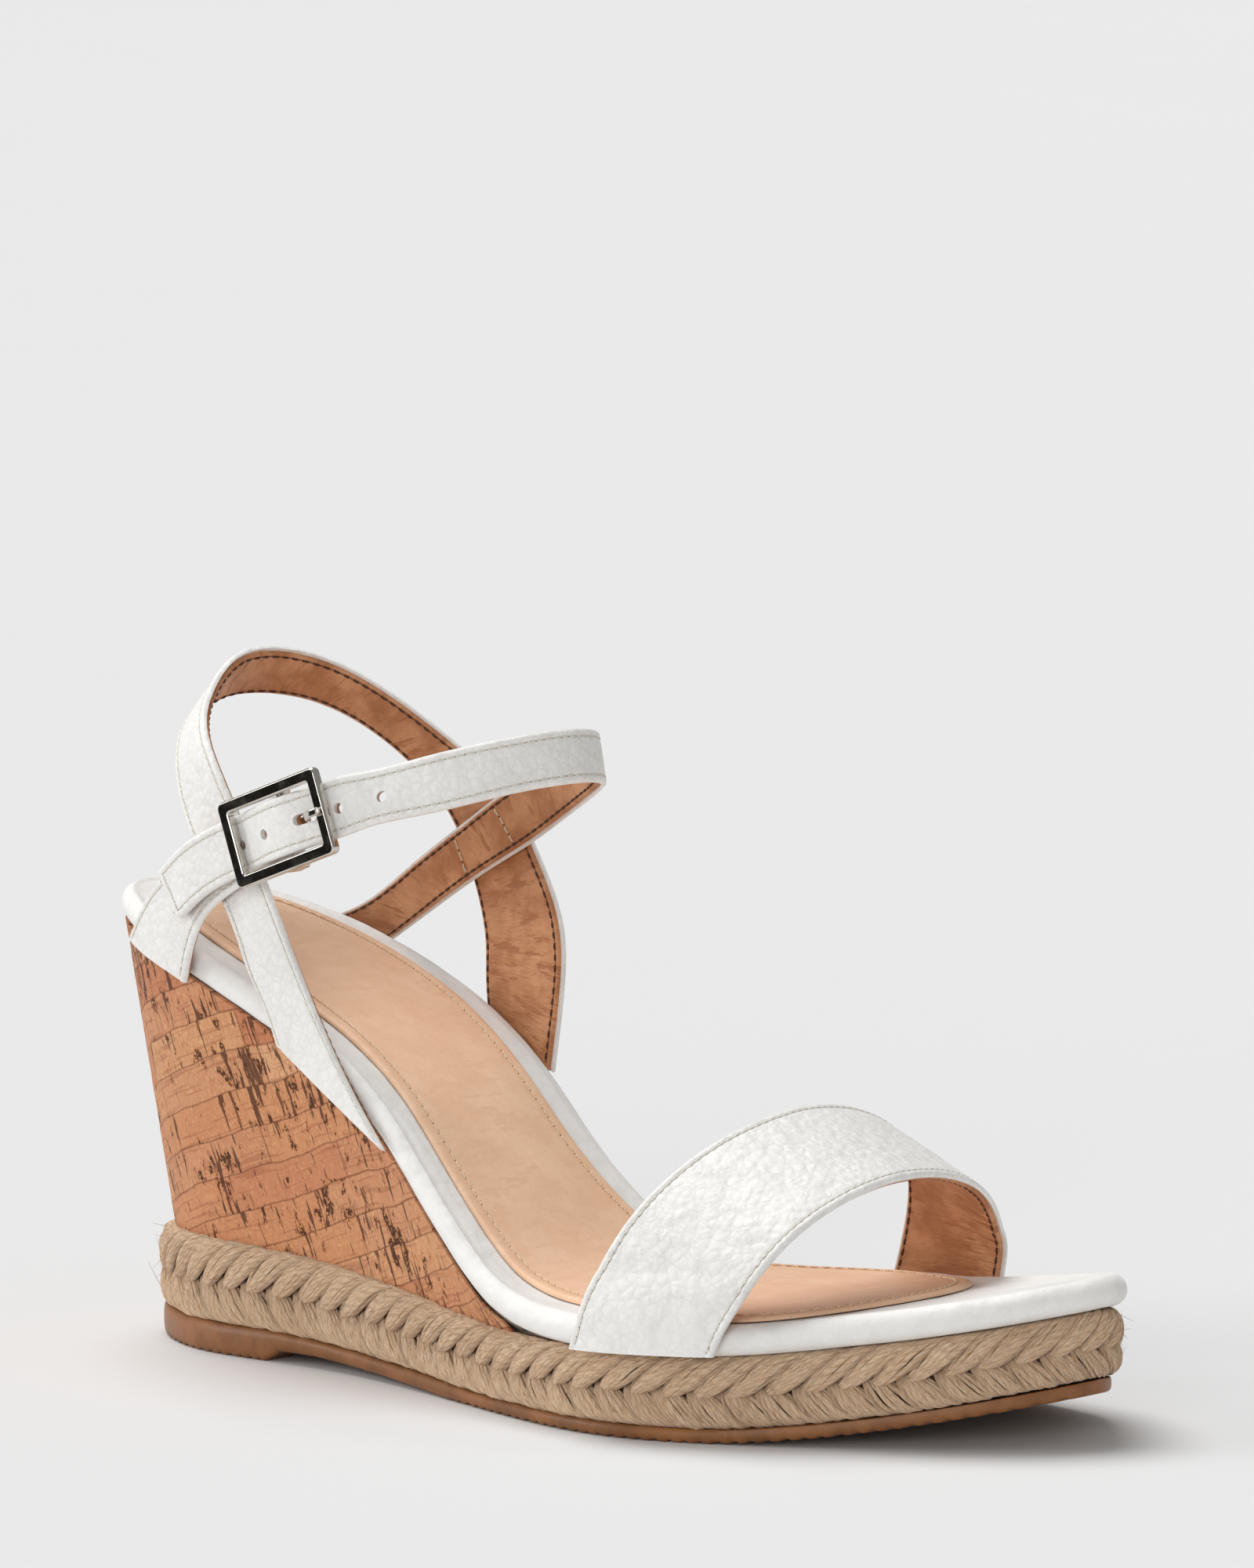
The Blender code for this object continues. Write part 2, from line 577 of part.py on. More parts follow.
def fastener(x, y, radius, length, head, grow=0.0, extra=0.0):
    """Shank and flat head as one turned profile about z; grow and extra enlarge it to a bore."""
    profile = (
        (radius + grow, -length - grow), (radius + grow, -HEAD_THICK - grow),
        (head + grow, -HEAD_THICK - grow), (head + grow, extra),
    )
    bm = bmesh.new()
    rings = []
    for r, z in profile:
        rings.append([bm.verts.new(Vector((r * cos(a), r * sin(a), z)) * MM)
                      for a in np.linspace(0, 2 * pi, FASTENER_SIDES + 1)[:-1]])
    for low, high in zip(rings, rings[1:]):
        for k in range(FASTENER_SIDES):
            n = (k + 1) % FASTENER_SIDES
            bm.faces.new((low[k], low[n], high[n], high[k]))
    bm.faces.new(rings[0])
    bm.faces.new(rings[-1])
    bmesh.ops.transform(bm, matrix=head_matrix(x, y), verts=bm.verts)
    return bm


for name, shape in FASTENERS.items():
    add_object(name, fastener(*shape), "spring_steel", origin)
bores = join([fastener(*shape, grow=HEAD_CLEARANCE, extra=ABOVE_HEAD) for shape in FASTENERS.values()])
bore_cutter = add_object("bore_cutter", bores, "spring_steel", origin)
cut(wedge_core, bore_cutter)
cut(board, bore_cutter)


# ---------------------------------------------------------------- straps
RIM_PATH = rim_outline(0.0)[0]
STRAP_STANDOFF = 1.6  # from the rim to a strap's middle surface
HUG_FADE = 9.0  # height above the rim at which a strap leaves its line


def hug_rim(grid):
    """Moves the feet of a strap sideways, so that they lie against the outside of the rim."""
    x, y, z = grid[..., 0], grid[..., 1], grid[..., 2]
    outer, inner = (np.reshape(side, x.shape) for side in sides(RIM_PATH, x.ravel()))
    above = z - seat(x.ravel()).reshape(x.shape) - RIM_HEIGHT
    share = np.clip((HUG_FADE - above) / (HUG_FADE - 1), 0, 1)
    held = np.where(y < 0, np.minimum(y, outer - STRAP_STANDOFF), np.maximum(y, inner + STRAP_STANDOFF))
    grid[..., 1] = y + (held - y) * share
    return grid


def strap(name, upper, lower, sections, lines, side):
    grid = hug_rim(across_ribbon(*smooth_edges(upper, lower, sections), lines))
    add_object(f"{name}_outer", ribbon(grid, OUTER_LAYER, side), "white_leather", origin)
    add_object(f"{name}_lining", ribbon(grid, LINING_LAYER, side), "tan_lining", origin)


# Toe band: a broad strap over the toes, its rear edge higher than its front edge.
strap("toe_band", TOE_BAND_REAR, TOE_BAND_FRONT, sections=40, lines=6, side=1.0)

# Slingback: from the outer waist, round behind the heel, to the inner waist.
strap("sling", SLING_UPPER, SLING_LOWER, sections=66, lines=3, side=-1.0)


# ---------------------------------------------------------------- buckle
def at_buckle(e, o, w=0.0):
    """Drawing point from buckle axes, measured from the centre bar."""
    x, y, z = BAR_CENTRE
    run, rise = cos(BUCKLE_TILT), sin(BUCKLE_TILT)
    return (x + e * run - w * rise, y - o, z + e * rise + w * run)


def edges_at_buckle(path, half=STRAP_HALF):
    return [at_buckle(e, o, half) for e, o in path], [at_buckle(e, o, -half) for e, o in path]


# Heel tab: its outer leather turns round the centre bar and back, which is the chape.
TAB_MIDDLE = -SLEEVE_RADIUS  # the tab's middle surface, seen from the bar's axis
TAB_LEAD_IN = ((-7.0, TAB_MIDDLE), (-3.0, TAB_MIDDLE))
lead_upper, lead_lower = edges_at_buckle(TAB_LEAD_IN)
TAB_LINES, TAB_SECTIONS = 4, 28
tab_edges = smooth_edges(TAB_UPPER + tuple(lead_upper), TAB_LOWER + tuple(lead_lower), TAB_SECTIONS)
tab_grid = hug_rim(across_ribbon(*tab_edges, TAB_LINES))
turn = np.linspace(-pi / 2, pi / 2, 13)
sleeve = [(SLEEVE_RADIUS * cos(a), SLEEVE_RADIUS * sin(a)) for a in turn]
TAIL = ((-1.6, 1.85), (-3.4, 1.0), (-5.2, 0.35), (-7.5, 0.2))
loop_upper, loop_lower = edges_at_buckle(sleeve + list(TAIL))
loop_grid = across_ribbon(np.array(loop_upper), np.array(loop_lower), TAB_LINES)
chape_grid = np.concatenate([tab_grid, loop_grid])
tab_outer = add_object("heel_tab_outer", ribbon(chape_grid, OUTER_LAYER), "white_leather", origin)
add_object("heel_tab_lining", ribbon(tab_grid, LINING_LAYER), "tan_lining", origin)

# Ankle strap: from the inner heel, round the front of the ankle, through the buckle to its tip.
ANKLE_LINES, ANKLE_SECTIONS = 3, 118
through_upper, through_lower = edges_at_buckle(STRAP_THROUGH_BUCKLE)
ankle_upper = ANKLE_UPPER + tuple(through_upper) + FREE_END_UPPER
ankle_lower = ANKLE_LOWER + tuple(through_lower) + FREE_END_LOWER
ankle_grid = hug_rim(across_ribbon(*smooth_edges(ankle_upper, ankle_lower, ANKLE_SECTIONS), ANKLE_LINES))
ankle_outer = add_object("ankle_strap_outer", ribbon(ankle_grid, OUTER_LAYER, -1.0), "white_leather", origin)
ankle_lining = add_object("ankle_strap_lining", ribbon(ankle_grid, LINING_LAYER, -1.0), "tan_lining", origin)

# Buckle axes: local X runs along the strap, Y along the centre bar, Z outwards.
buckle_axis = bpy.data.objects.new("buckle_axis", None)
bpy.context.collection.objects.link(buckle_axis)
buckle_axis.parent = origin
along = Vector((cos(BUCKLE_TILT), 0, sin(BUCKLE_TILT)))
outwards = Vector((0, -1, 0))
turned = Matrix((along, outwards.cross(along), outwards)).transposed().to_4x4()
buckle_matrix = Matrix.Translation(Vector(BAR_CENTRE) * MM) @ turned
buckle_axis.matrix_local = buckle_matrix

# Punched holes, evenly spaced: the one in use is stretched forwards by the prong.
PUNCH_DEPTH, STRETCHED_DEPTH = 5.0, 8.0
middle_line = ankle_grid[:, 1]
used_at = int(np.linalg.norm(middle_line - np.array(at_buckle(USED_HOLE_E, USED_HOLE_O)), axis=1).argmin())
run = chord_knots(middle_line, 1.0)
punches = []
unworn = run[used_at] + (USED_HOLE_LENGTH / 2 - HOLE_RADIUS)
for step in (-2, -1, 1, 2):
    i = int(np.abs(run - unworn - step * HOLE_PITCH).argmin())
    ahead = Vector(middle_line[i + 1] - middle_line[i - 1]).normalized()
    across = Vector(ankle_grid[i, 0] - ankle_grid[i, 2]).normalized()
    frame = Matrix((ahead, across, ahead.cross(across))).transposed().to_4x4()
    placed = Matrix.Translation(Vector(middle_line[i]) * MM) @ frame
    punches.append(cylinder(HOLE_RADIUS, PUNCH_DEPTH, placed))
stretched = cylinder(HOLE_RADIUS, STRETCHED_DEPTH, Matrix())
for vert in stretched.verts:
    vert.co.x += (USED_HOLE_LENGTH / 2 - HOLE_RADIUS) * MM * (1 if vert.co.x > 0 else -1)
hole_frame = buckle_matrix @ Matrix.Translation(Vector((USED_HOLE_E, 0, USED_HOLE_O)) * MM)
bmesh.ops.transform(stretched, matrix=hole_frame, verts=stretched.verts)
hole_cutter = add_object("hole_cutter", join([*punches, stretched]), "nickel", origin)
cut(ankle_outer, hole_cutter)
cut(ankle_lining, hole_cutter)

# Slot in the chape for the prong.
slot_size = (SLOT_FRONT - SLOT_REAR, SLOT_WIDTH, SLOT_DEPTH)
slot_box = box(slot_size, ((SLOT_FRONT + SLOT_REAR) / 2, 0, SLOT_MIDDLE))
slot_cutter = add_object("slot_cutter", slot_box, "nickel", buckle_axis)
cut(tab_outer, slot_cutter)


def rounded_rectangle(length, width, radius, steps=4):
    x, y = length / 2 - radius, width / 2 - radius
    points = []
    for corner, (sx, sy) in enumerate(((1, 1), (-1, 1), (-1, -1), (1, -1))):
        for a in np.linspace(0, pi / 2, steps) + corner * pi / 2:
            points.append((sx * x + radius * cos(a), sy * y + radius * sin(a)))
    return points


def frame_loop(inset, radius):
    return rounded_rectangle(FRAME_LENGTH - 2 * inset, FRAME_HEIGHT - 2 * inset, radius)


# Buckle frame: a bevelled rectangle with two lugs that hold the centre bar.
low, high = FRAME_LIFT, FRAME_LIFT + FRAME_THICK
FRAME_SECTION = (
    (0.0, 1.3, low), (0.0, 1.3, high - 0.5), (0.45, 1.1, high),
    (FRAME_BAR - 0.3, 0.7, high), (FRAME_BAR, 0.5, high - 0.35), (FRAME_BAR, 0.5, low),
)
loops = [[(*p, z) for p in frame_loop(inset, radius)] for inset, radius, z in FRAME_SECTION]
frame = add_object("buckle_frame", loft(list(zip(*loops)), closed_path=True), "nickel", buckle_axis)
lug_middle = (FRAME_HEIGHT - FRAME_BAR) / 2
lug_size = (LUG_LENGTH, LUG_THICK, FRAME_LIFT + LUG_OVERLAP - LUG_BOTTOM)
lugs = join([box(lug_size, (0, side * lug_middle, LUG_BOTTOM + lug_size[2] / 2)) for side in (-1, 1)])
cut(frame, add_object("lug_maker", lugs, "nickel", buckle_axis), "UNION")
across_bar = Matrix.Rotation(pi / 2, 4, "X")
bore = cylinder(BAR_RADIUS + BORE_CLEARANCE, 1.2 * FRAME_HEIGHT, across_bar)
cut(frame, add_object("bar_bore", bore, "nickel", buckle_axis))
bar = cylinder(BAR_RADIUS, BAR_LENGTH, across_bar)
add_object("buckle_centre_bar", bar, "nickel", buckle_axis)

# Prong: curled round the bar, cranked up through the strap's hole, resting on the frame's front bar.
PRONG_ARM = (
    (0.6, 1.5), (2.0, 1.25), (3.6, 0.6), (5.1, 0.2), (6.3, 0.8), (7.3, 2.3), (8.5, 4.0), (10.0, 4.8),
    (12.9, 4.9),
)
CURL_FROM, CURL_TO, CURL_STEPS = radians(-30), radians(-265), 12
curl = np.linspace(CURL_FROM, CURL_TO, CURL_STEPS)
path = np.array([(PRONG_LOOP * cos(a), PRONG_LOOP * sin(a)) for a in curl] + list(PRONG_ARM))
ahead = np.gradient(path, axis=0)
ahead /= np.linalg.norm(ahead, axis=1)[:, None]
lift = np.stack([-ahead[:, 1], ahead[:, 0]], axis=1) * PRONG_THICK / 2
rings = []
for p, n in zip(path, lift):
    (e1, o1), (e2, o2) = p + n, p - n
    half = PRONG_WIDTH / 2
    rings.append([(e1, -half, o1), (e1, half, o1), (e2, half, o2), (e2, -half, o2)])
add_object("buckle_prong", loft(rings), "nickel", buckle_axis)
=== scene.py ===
"""Looks of the wedge sandal: detailed surfaces, plaited jute, stitching and materials round the CAD frame.

The drawing numbers are millimetres from the back of the platform at ground level, as in the CAD model;
placed() turns them into the frame's metres.
"""

from math import cos, pi, radians, sin

import bmesh
import bpy
import numpy as np
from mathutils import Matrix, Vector, noise


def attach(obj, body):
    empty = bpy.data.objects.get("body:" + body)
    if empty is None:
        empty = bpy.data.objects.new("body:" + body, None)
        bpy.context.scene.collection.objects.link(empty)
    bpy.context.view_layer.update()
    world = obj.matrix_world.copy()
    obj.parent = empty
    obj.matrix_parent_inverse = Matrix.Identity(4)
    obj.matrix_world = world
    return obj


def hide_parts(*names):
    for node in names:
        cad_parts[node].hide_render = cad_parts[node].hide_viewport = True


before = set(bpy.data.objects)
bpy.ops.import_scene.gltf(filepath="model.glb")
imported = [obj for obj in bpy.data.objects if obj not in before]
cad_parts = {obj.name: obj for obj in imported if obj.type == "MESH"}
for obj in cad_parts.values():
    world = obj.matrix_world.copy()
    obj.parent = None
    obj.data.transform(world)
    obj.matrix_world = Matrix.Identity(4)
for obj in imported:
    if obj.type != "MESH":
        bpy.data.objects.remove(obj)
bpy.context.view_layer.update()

MM = 0.001
CENTRE = np.array((114.6, -6.2, 0.0))  # the middle of the footprint
rng = np.random.default_rng(7)

# ---------------------------------------------------------------- the CAD model's driving dimensions
SOLE_OUTLINE = (
    (0, 0), (8, -14), (30, -26), (60, -28), (95, -36), (130, -48), (160, -52), (190, -40.5),
    (215, -26), (230, -12), (236, 4), (230, 16.5), (215, 31.5), (190, 39), (160, 37.5),
    (130, 24.5), (95, 24), (60, 34), (30, 31), (8, 19.5),
)
SOLE_LENGTH = 236.0
SEAT_LINE = (
    (-10, 85.4), (10, 81.6), (30, 75.2), (50, 66.8), (70, 57.6), (85, 48.4), (98, 37.6), (110, 28.2),
    (122, 20.8), (133, 17.7), (145, 16.7), (160, 16.5), (180, 16.5), (240, 16.5),
)
BRAID_TOP = ((0, 22.3), (45, 22.5), (70, 20.4), (95, 18.0), (120, 16.1), (145, 16.0), (240, 16.0))
OUTSOLE_TOP = ((0, 6.2), (48, 6.2), (80, 4.3), (115, 2.7), (240, 2.7))
OUTSOLE_BOTTOM = ((0, 0.0), (48, 0.0), (52, 2.3), (62, 2.3), (106, 0.0), (240, 0.0))
TOE_SPRING = 10.5
SPRING_START = 175.0
GAP = 0.3
BRAID_THICKNESS = 3.9
OUTSOLE_INSET = -3.5
BRAID_INSET = -2.0
CORE_INSET = BRAID_INSET - BRAID_THICKNESS - GAP
RIM_INSET, TOE_RIM_INSET = -1.9, -0.9
TOE_BLEND_START, TOE_BLEND_LENGTH = 195.0, 20.0  # where the rim moves out to its toe inset
HEEL_OVERHANG = 8.8
COVER_THICKNESS = 0.8
OVERHANG_REACH = 150.0
RIM_HEIGHT = 6.0
INSOCK_INSET = -8.2
INSOCK_FRONT_START = 150.0
INSOCK_FRONT = (
    (163, -42.5), (175.5, -41), (186, -35.5), (194, -24), (198.2, -9), (197.6, 5), (193, 16),
    (185, 25.3), (173.5, 29.4), (162, 27.5),
)
WEDGE_FRONT = 128.0
CORK_TOP_INSET = -0.5
CORK_THICKNESS = 0.8

TOE_BAND_REAR = (
    (150.5, -51.6, 16.6), (152.3, -51.4, 22), (155, -49.5, 31), (159, -44, 41.5), (163, -31, 51.2),
    (165, -15, 56.2), (165, 2, 57.6), (164.5, 18, 55), (164, 30, 49), (162.5, 36.5, 40),
    (160, 38, 29), (157.5, 36.6, 16.6),
)
TOE_BAND_FRONT = (
    (179.5, -45.2, 17.1), (181.2, -45.0, 21), (184.5, -43.3, 27.3), (187.8, -39.5, 34.2),
    (190.8, -29.5, 41.6), (193, -14, 46.4), (192.8, 1, 46.9), (191.3, 14, 44.8), (189.5, 25, 40.5),
    (186.5, 34, 33.5), (184, 38.8, 26), (182.5, 39.4, 17.3),
)
SLING_UPPER = (
    (90.2, -35.2, 46.8), (79.5, -32.2, 57), (69, -29.4, 69.3), (57.5, -27, 86.5), (48.6, -25, 99.8),
    (38, -23.4, 115.3), (27.5, -16.5, 124.5), (20.5, -6, 131.5), (19, 5, 137.5),
    (24.5, 19.6, 136.4), (35.5, 27.6, 129.8), (50.6, 33, 118.8), (62.8, 34.4, 109),
    (72, 33.8, 96.1), (79, 31.8, 83.2), (80.3, 30, 69.9), (79, 28.8, 55),
)
SLING_LOWER = (
    (57, -28.4, 64.4), (53.2, -28.3, 72), (48.5, -27.5, 78), (42.3, -25.8, 87.5), (33, -23.4, 98.5),
    (23.5, -18.8, 108.5), (15.5, -11.5, 118), (9.8, -1, 124.5), (9, 9, 128), (15.5, 19.5, 128),
    (25.3, 26.2, 124.4), (37.9, 32.4, 114.9), (47.5, 34.9, 103.6), (52.9, 35.5, 91.5),
    (56.3, 35, 80.7), (57.2, 34.3, 71.9), (58.5, 33.8, 64),
)
TAB_UPPER = (
    (11, -21.0, 81.4), (15.5, -22.9, 87), (22.3, -24.8, 93.6), (31.5, -26.6, 100), (41.3, -27.5, 105.4),
)
TAB_LOWER = (
    (32, -27.8, 74.6), (33.8, -28, 81), (37.4, -28, 88), (45, -27.8, 93.8), (53, -27.6, 98.4),
)
ANKLE_UPPER = (
    (15, 29.6, 80.8), (26, 32.2, 85.2), (38.8, 33.2, 94.2), (52.2, 31.9, 102.6),
    (64.3, 31.2, 110.2), (77.6, 29.8, 117.1), (90.1, 25.2, 122.5), (100, 16, 125.3),
    (104.2, 3, 126.7), (100.5, -9.5, 125.7), (90, -20, 122.6), (78, -26.6, 119),
)
ANKLE_LOWER = (
    (29.5, 33.4, 75.9), (38.3, 34, 81.7), (48.3, 33.6, 87.9), (59.6, 32.4, 94.2),
    (71.1, 31.4, 100.2), (82.1, 29.2, 106.3), (93.7, 23.6, 111.7), (102.5, 15.5, 115),
    (106.7, 2, 116.3), (102.3, -10.5, 115), (91.5, -21.2, 111.5), (80.5, -27.2, 108.6),
)
FREE_END_UPPER = ((33.5, -29.5, 102.4), (25.3, -28.1, 96.0))
FREE_END_LOWER = ((39.7, -30.4, 92.6), (33.0, -30.8, 87.0))
BAR_CENTRE = (60.8, -29.7, 107.4)
BUCKLE_TILT = radians(19.6)
FRAME_LENGTH, FRAME_HEIGHT, FRAME_THICK = 26.8, 17.5, 2.0
FRAME_BAR = 2.5
FRAME_LIFT = 2.1
SLEEVE_RADIUS = 2.1
STRAP_HALF = 5.7
PRONG_WIDTH, PRONG_THICK, PRONG_LOOP = 1.5, 0.9, 1.55
SLOT_WIDTH, SLOT_REAR, SLOT_FRONT = 2.5, -2.55, 3.4
HOLE_PITCH, HOLE_RADIUS = 8.8, 1.05
USED_HOLE_E, USED_HOLE_O, USED_HOLE_LENGTH = 7.0, 1.5, 4.8
STRAP_THROUGH_BUCKLE = (
    (15.5, -0.6), (11.4, 0.15), (8.5, 0.95), (5.5, 2.15), (3.0, 3.05), (0.0, 3.4), (-3.0, 3.1),
    (-5.5, 2.3), (-8.5, 1.3), (-11.4, 0.45), (-15.0, 0.35),
)
TAIL = ((-1.6, 1.85), (-3.4, 1.0), (-5.2, 0.35), (-7.5, 0.2))
PRONG_ARM = (
    (0.6, 1.5), (2.0, 1.25), (3.6, 0.6), (5.1, 0.2), (6.3, 0.8), (7.3, 2.3), (8.5, 4.0), (10.0, 4.8),
    (12.9, 4.9),
)
STRAP_STANDOFF = 1.6
HUG_FADE = 9.0
PUNCH_DEPTH = 3.5


# ---------------------------------------------------------------- curves
def spline(knots, values, at, loop=False):
    """Cubic spline through values at knots: natural at open ends, smooth all round in a loop."""
    t = np.asarray(knots, float)
    v = np.asarray(values, float).reshape(len(t), -1)
    n = len(t)
    h = np.diff(t)
    a = np.eye(n)
    b = np.zeros_like(v)
    for i in range(1, n - 1):
        a[i, i - 1 : i + 2] = h[i - 1], 2 * (h[i - 1] + h[i]), h[i]
        b[i] = 6 * ((v[i + 1] - v[i]) / h[i] - (v[i] - v[i - 1]) / h[i - 1])
    if loop:
        a[0, :2] = 2 * (h[-1] + h[0]), h[0]
        a[0, n - 2] = h[-1]
        b[0] = 6 * ((v[1] - v[0]) / h[0] - (v[0] - v[n - 2]) / h[-1])
        a[n - 1, 0], a[n - 1, n - 1] = -1, 1
    m = np.linalg.solve(a, b)
    x = np.asarray(at, float)
    k = np.clip(np.searchsorted(t, x) - 1, 0, n - 2)
    p, q = (t[k + 1] - x)[:, None], (x - t[k])[:, None]
    hk = h[k][:, None]
    cubic = (m[k] * p**3 + m[k + 1] * q**3) / (6 * hk)
    return cubic + (v[k] / hk - m[k] * hk / 6) * p + (v[k + 1] / hk - m[k + 1] * hk / 6) * q


def chord_knots(points, power):
    steps = np.linalg.norm(np.diff(points, axis=0), axis=1) ** power
    return np.concatenate([[0], np.cumsum(steps)])


def unit(vectors):
    """The vectors with length 1 along the last axis."""
    return vectors / np.linalg.norm(vectors, axis=-1, keepdims=True)


def follow(at, run, values):
    """Rows of values at distances along a line; run has each row's own distance."""
    return np.stack([np.interp(at, run, values[:, k]) for k in range(values.shape[1])], axis=-1)


def closed(path):
    """The path with its first point again at the end."""
    return np.vstack([path, path[:1]])


def outward(path, reach=1):
    """Unit normals of a flat closed path that runs anticlockwise, from the points reach away on each side."""
    ahead = unit(np.roll(path, -reach, axis=0) - np.roll(path, reach, axis=0))
    return np.stack([ahead[:, 1], -ahead[:, 0]], axis=1)


def path_behind(path, x):
    """The part of a closed path behind x, from its inner side round the heel to its outer side."""
    behind = path[:, 0] < x
    start = int(np.where(behind & ~np.roll(behind, 1))[0][0])
    return np.roll(path, -start, axis=0)[np.roll(behind, -start)]


def smooth_curve(points, count, power=0.7):
    points = np.asarray(points, float)
    knots = chord_knots(points, power)
    return spline(knots, points, np.linspace(0, knots[-1], count))


def resample(points, step=None, count=None):
    """Points at even distances along a polyline."""
    points = np.asarray(points, float)
    run = chord_knots(points, 1.0)
    count = count or max(2, int(round(run[-1] / step)) + 1)
    return follow(np.linspace(0, run[-1], count), run, points)


def smooth_edges(upper, lower, count, power=0.7):
    upper, lower = np.asarray(upper, float), np.asarray(lower, float)
    knots = (chord_knots(upper, power) + chord_knots(lower, power)) / 2
    at = np.linspace(0, knots[-1], count)
    return spline(knots, upper, at), spline(knots, lower, at)


def height(profile, x):
    xs, zs = zip(*profile)
    return spline(xs, zs, np.ravel(x))[:, 0].reshape(np.shape(x))


def toe_spring(x):
    lift = np.clip((np.asarray(x, float) - SPRING_START) / (SOLE_LENGTH - SPRING_START), 0, None)
    return TOE_SPRING * lift**1.5


def seat(x):
    return height(SEAT_LINE, x) + toe_spring(x)


DROOP, DROOP_START, DROOP_LENGTH = 1.0, 200, 32


def tip_droop(x):
    """How far the padded toe settles below the seat line."""
    return DROOP * np.clip((np.asarray(x, float) - DROOP_START) / DROOP_LENGTH, 0, 1)


def braid_top(x):
    return height(BRAID_TOP, x) + toe_spring(x)


def outsole_top(x):
    xs, zs = zip(*OUTSOLE_TOP)
    return np.interp(x, xs, zs) + toe_spring(x)


def outsole_bottom(x):
    xs, zs = zip(*OUTSOLE_BOTTOM)
    return np.interp(x, xs, zs) + toe_spring(x)


def outline(offset, overhang=0.0, toe_offset=None, count=1440):
    """The closed outline moved outwards by offset; overhang draws its heel part backwards."""
    points = closed(np.array(SOLE_OUTLINE, float))
    knots = chord_knots(points, 0.5)
    path = spline(knots, points, np.linspace(0, knots[-1], count + 1)[:-1], loop=True)
    normal = outward(path)
    amount = np.full(count, float(offset))
    if toe_offset is not None:
        amount += (toe_offset - RIM_INSET) * np.clip((path[:, 0] - TOE_BLEND_START) / TOE_BLEND_LENGTH, 0, 1)
    path = path + normal * amount[:, None]
    share = np.clip(1 - path[:, 0] / OVERHANG_REACH, 0, 1.2)
    path[:, 0] -= overhang * share**1.5
    return path, normal


def rim_outline(offset):
    return outline(RIM_INSET + offset, HEEL_OVERHANG, TOE_RIM_INSET)


def even_path(path_and_normal, count):
    """count points evenly spaced round a closed path, their outward normals and the path's length."""
    path, normal = (closed(part) for part in path_and_normal)
    run = chord_knots(path, 1.0)
    at = np.linspace(0, run[-1], count + 1)[:-1]
    return follow(at, run, path), unit(follow(at, run, normal)), run[-1]


def sides(path, xs):
    """y of the outer and inner side of a closed path at each x."""
    first, last = path[:, 0].argmin(), path[:, 0].argmax()
    path = np.roll(path, -first, axis=0)
    last = (last - first) % len(path)
    outer, inner = path[: last + 1], closed(path)[last:][::-1]
    return np.interp(xs, outer[:, 0], outer[:, 1]), np.interp(xs, inner[:, 0], inner[:, 1])


def insock_outline(inset=0.0):
    """Outline of the insock, moved inwards by inset."""
    heel_part = path_behind(rim_outline(INSOCK_INSET)[0], INSOCK_FRONT_START)
    front = np.vstack([heel_part[-1:], INSOCK_FRONT, heel_part[:1]])
    loop = np.vstack([heel_part, smooth_curve(front, 400)[1:-1]])
    return loop - outward(loop, 3) * inset


def wobble(points, scale, seed=0.0):
    """Smooth noise from -1 to 1 at each point; scale is the size of its lumps in mm."""
    flat = np.asarray(points, float).reshape(-1, 3) / scale + seed
    return np.array([noise.noise(Vector(p)) for p in flat]).reshape(np.shape(points)[:-1])


# ---------------------------------------------------------------- meshes
SHARP_ANGLE = 50  # edges that turn by more than this are shaded as sharp


def placed(points):
    return (np.asarray(points, float) - CENTRE) * MM


def add(name, data):
    obj = bpy.data.objects.new(name, data)
    bpy.context.scene.collection.objects.link(obj)
    return obj


def turn_faces_out(mesh):
    bm = bmesh.new()
    bm.from_mesh(mesh)
    bmesh.ops.recalc_face_normals(bm, faces=bm.faces)
    bm.to_mesh(mesh)
    bm.free()


def make(name, points, faces, look, body="sandal", replaces=(), attributes=None):
    """A piece from points in drawing millimetres and faces."""
    mesh = bpy.data.meshes.new(name)
    mesh.from_pydata(placed(points).tolist(), [], [list(f) for f in faces])
    for key, values in (attributes or {}).items():
        layer = mesh.attributes.new(key, "FLOAT_VECTOR", "POINT")
        layer.data.foreach_set("vector", np.asarray(values, np.float32).ravel())
    turn_faces_out(mesh)
    mesh.materials.append(look)
    mesh.shade_smooth()
    mesh.set_sharp_from_angle(angle=radians(SHARP_ANGLE))
    obj = add(name, mesh)
    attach(obj, body)
    if replaces:
        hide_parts(*replaces)
    return obj


def skin(rings, closed_path=False, caps=True):
    """(points, faces) of a surface through equal closed rings, shape (rings, points, 3)."""
    rings = np.asarray(rings, float)
    n, k = rings.shape[:2]
    index = np.arange(n * k).reshape(n, k)
    here = index if closed_path else index[:-1]
    there = np.roll(index, -1, axis=0) if closed_path else index[1:]
    right = np.roll(here, -1, axis=1), np.roll(there, -1, axis=1)
    faces = np.stack([here, right[0], right[1], there], axis=-1).reshape(-1, 4).tolist()
    if caps and not closed_path:
        faces += [index[0][::-1].tolist(), index[-1].tolist()]
    return rings.reshape(-1, 3), faces


def merge(parts):
    """One (points, faces) from several."""
    points, faces, base = [], [], 0
    for p, f in parts:
        points.append(p)
        faces += [[i + base for i in face] for face in f]
        base += len(p)
    return np.vstack(points), faces


ANY_UP = np.array((0.31, 0.17, 0.93))  # a direction that no thread follows


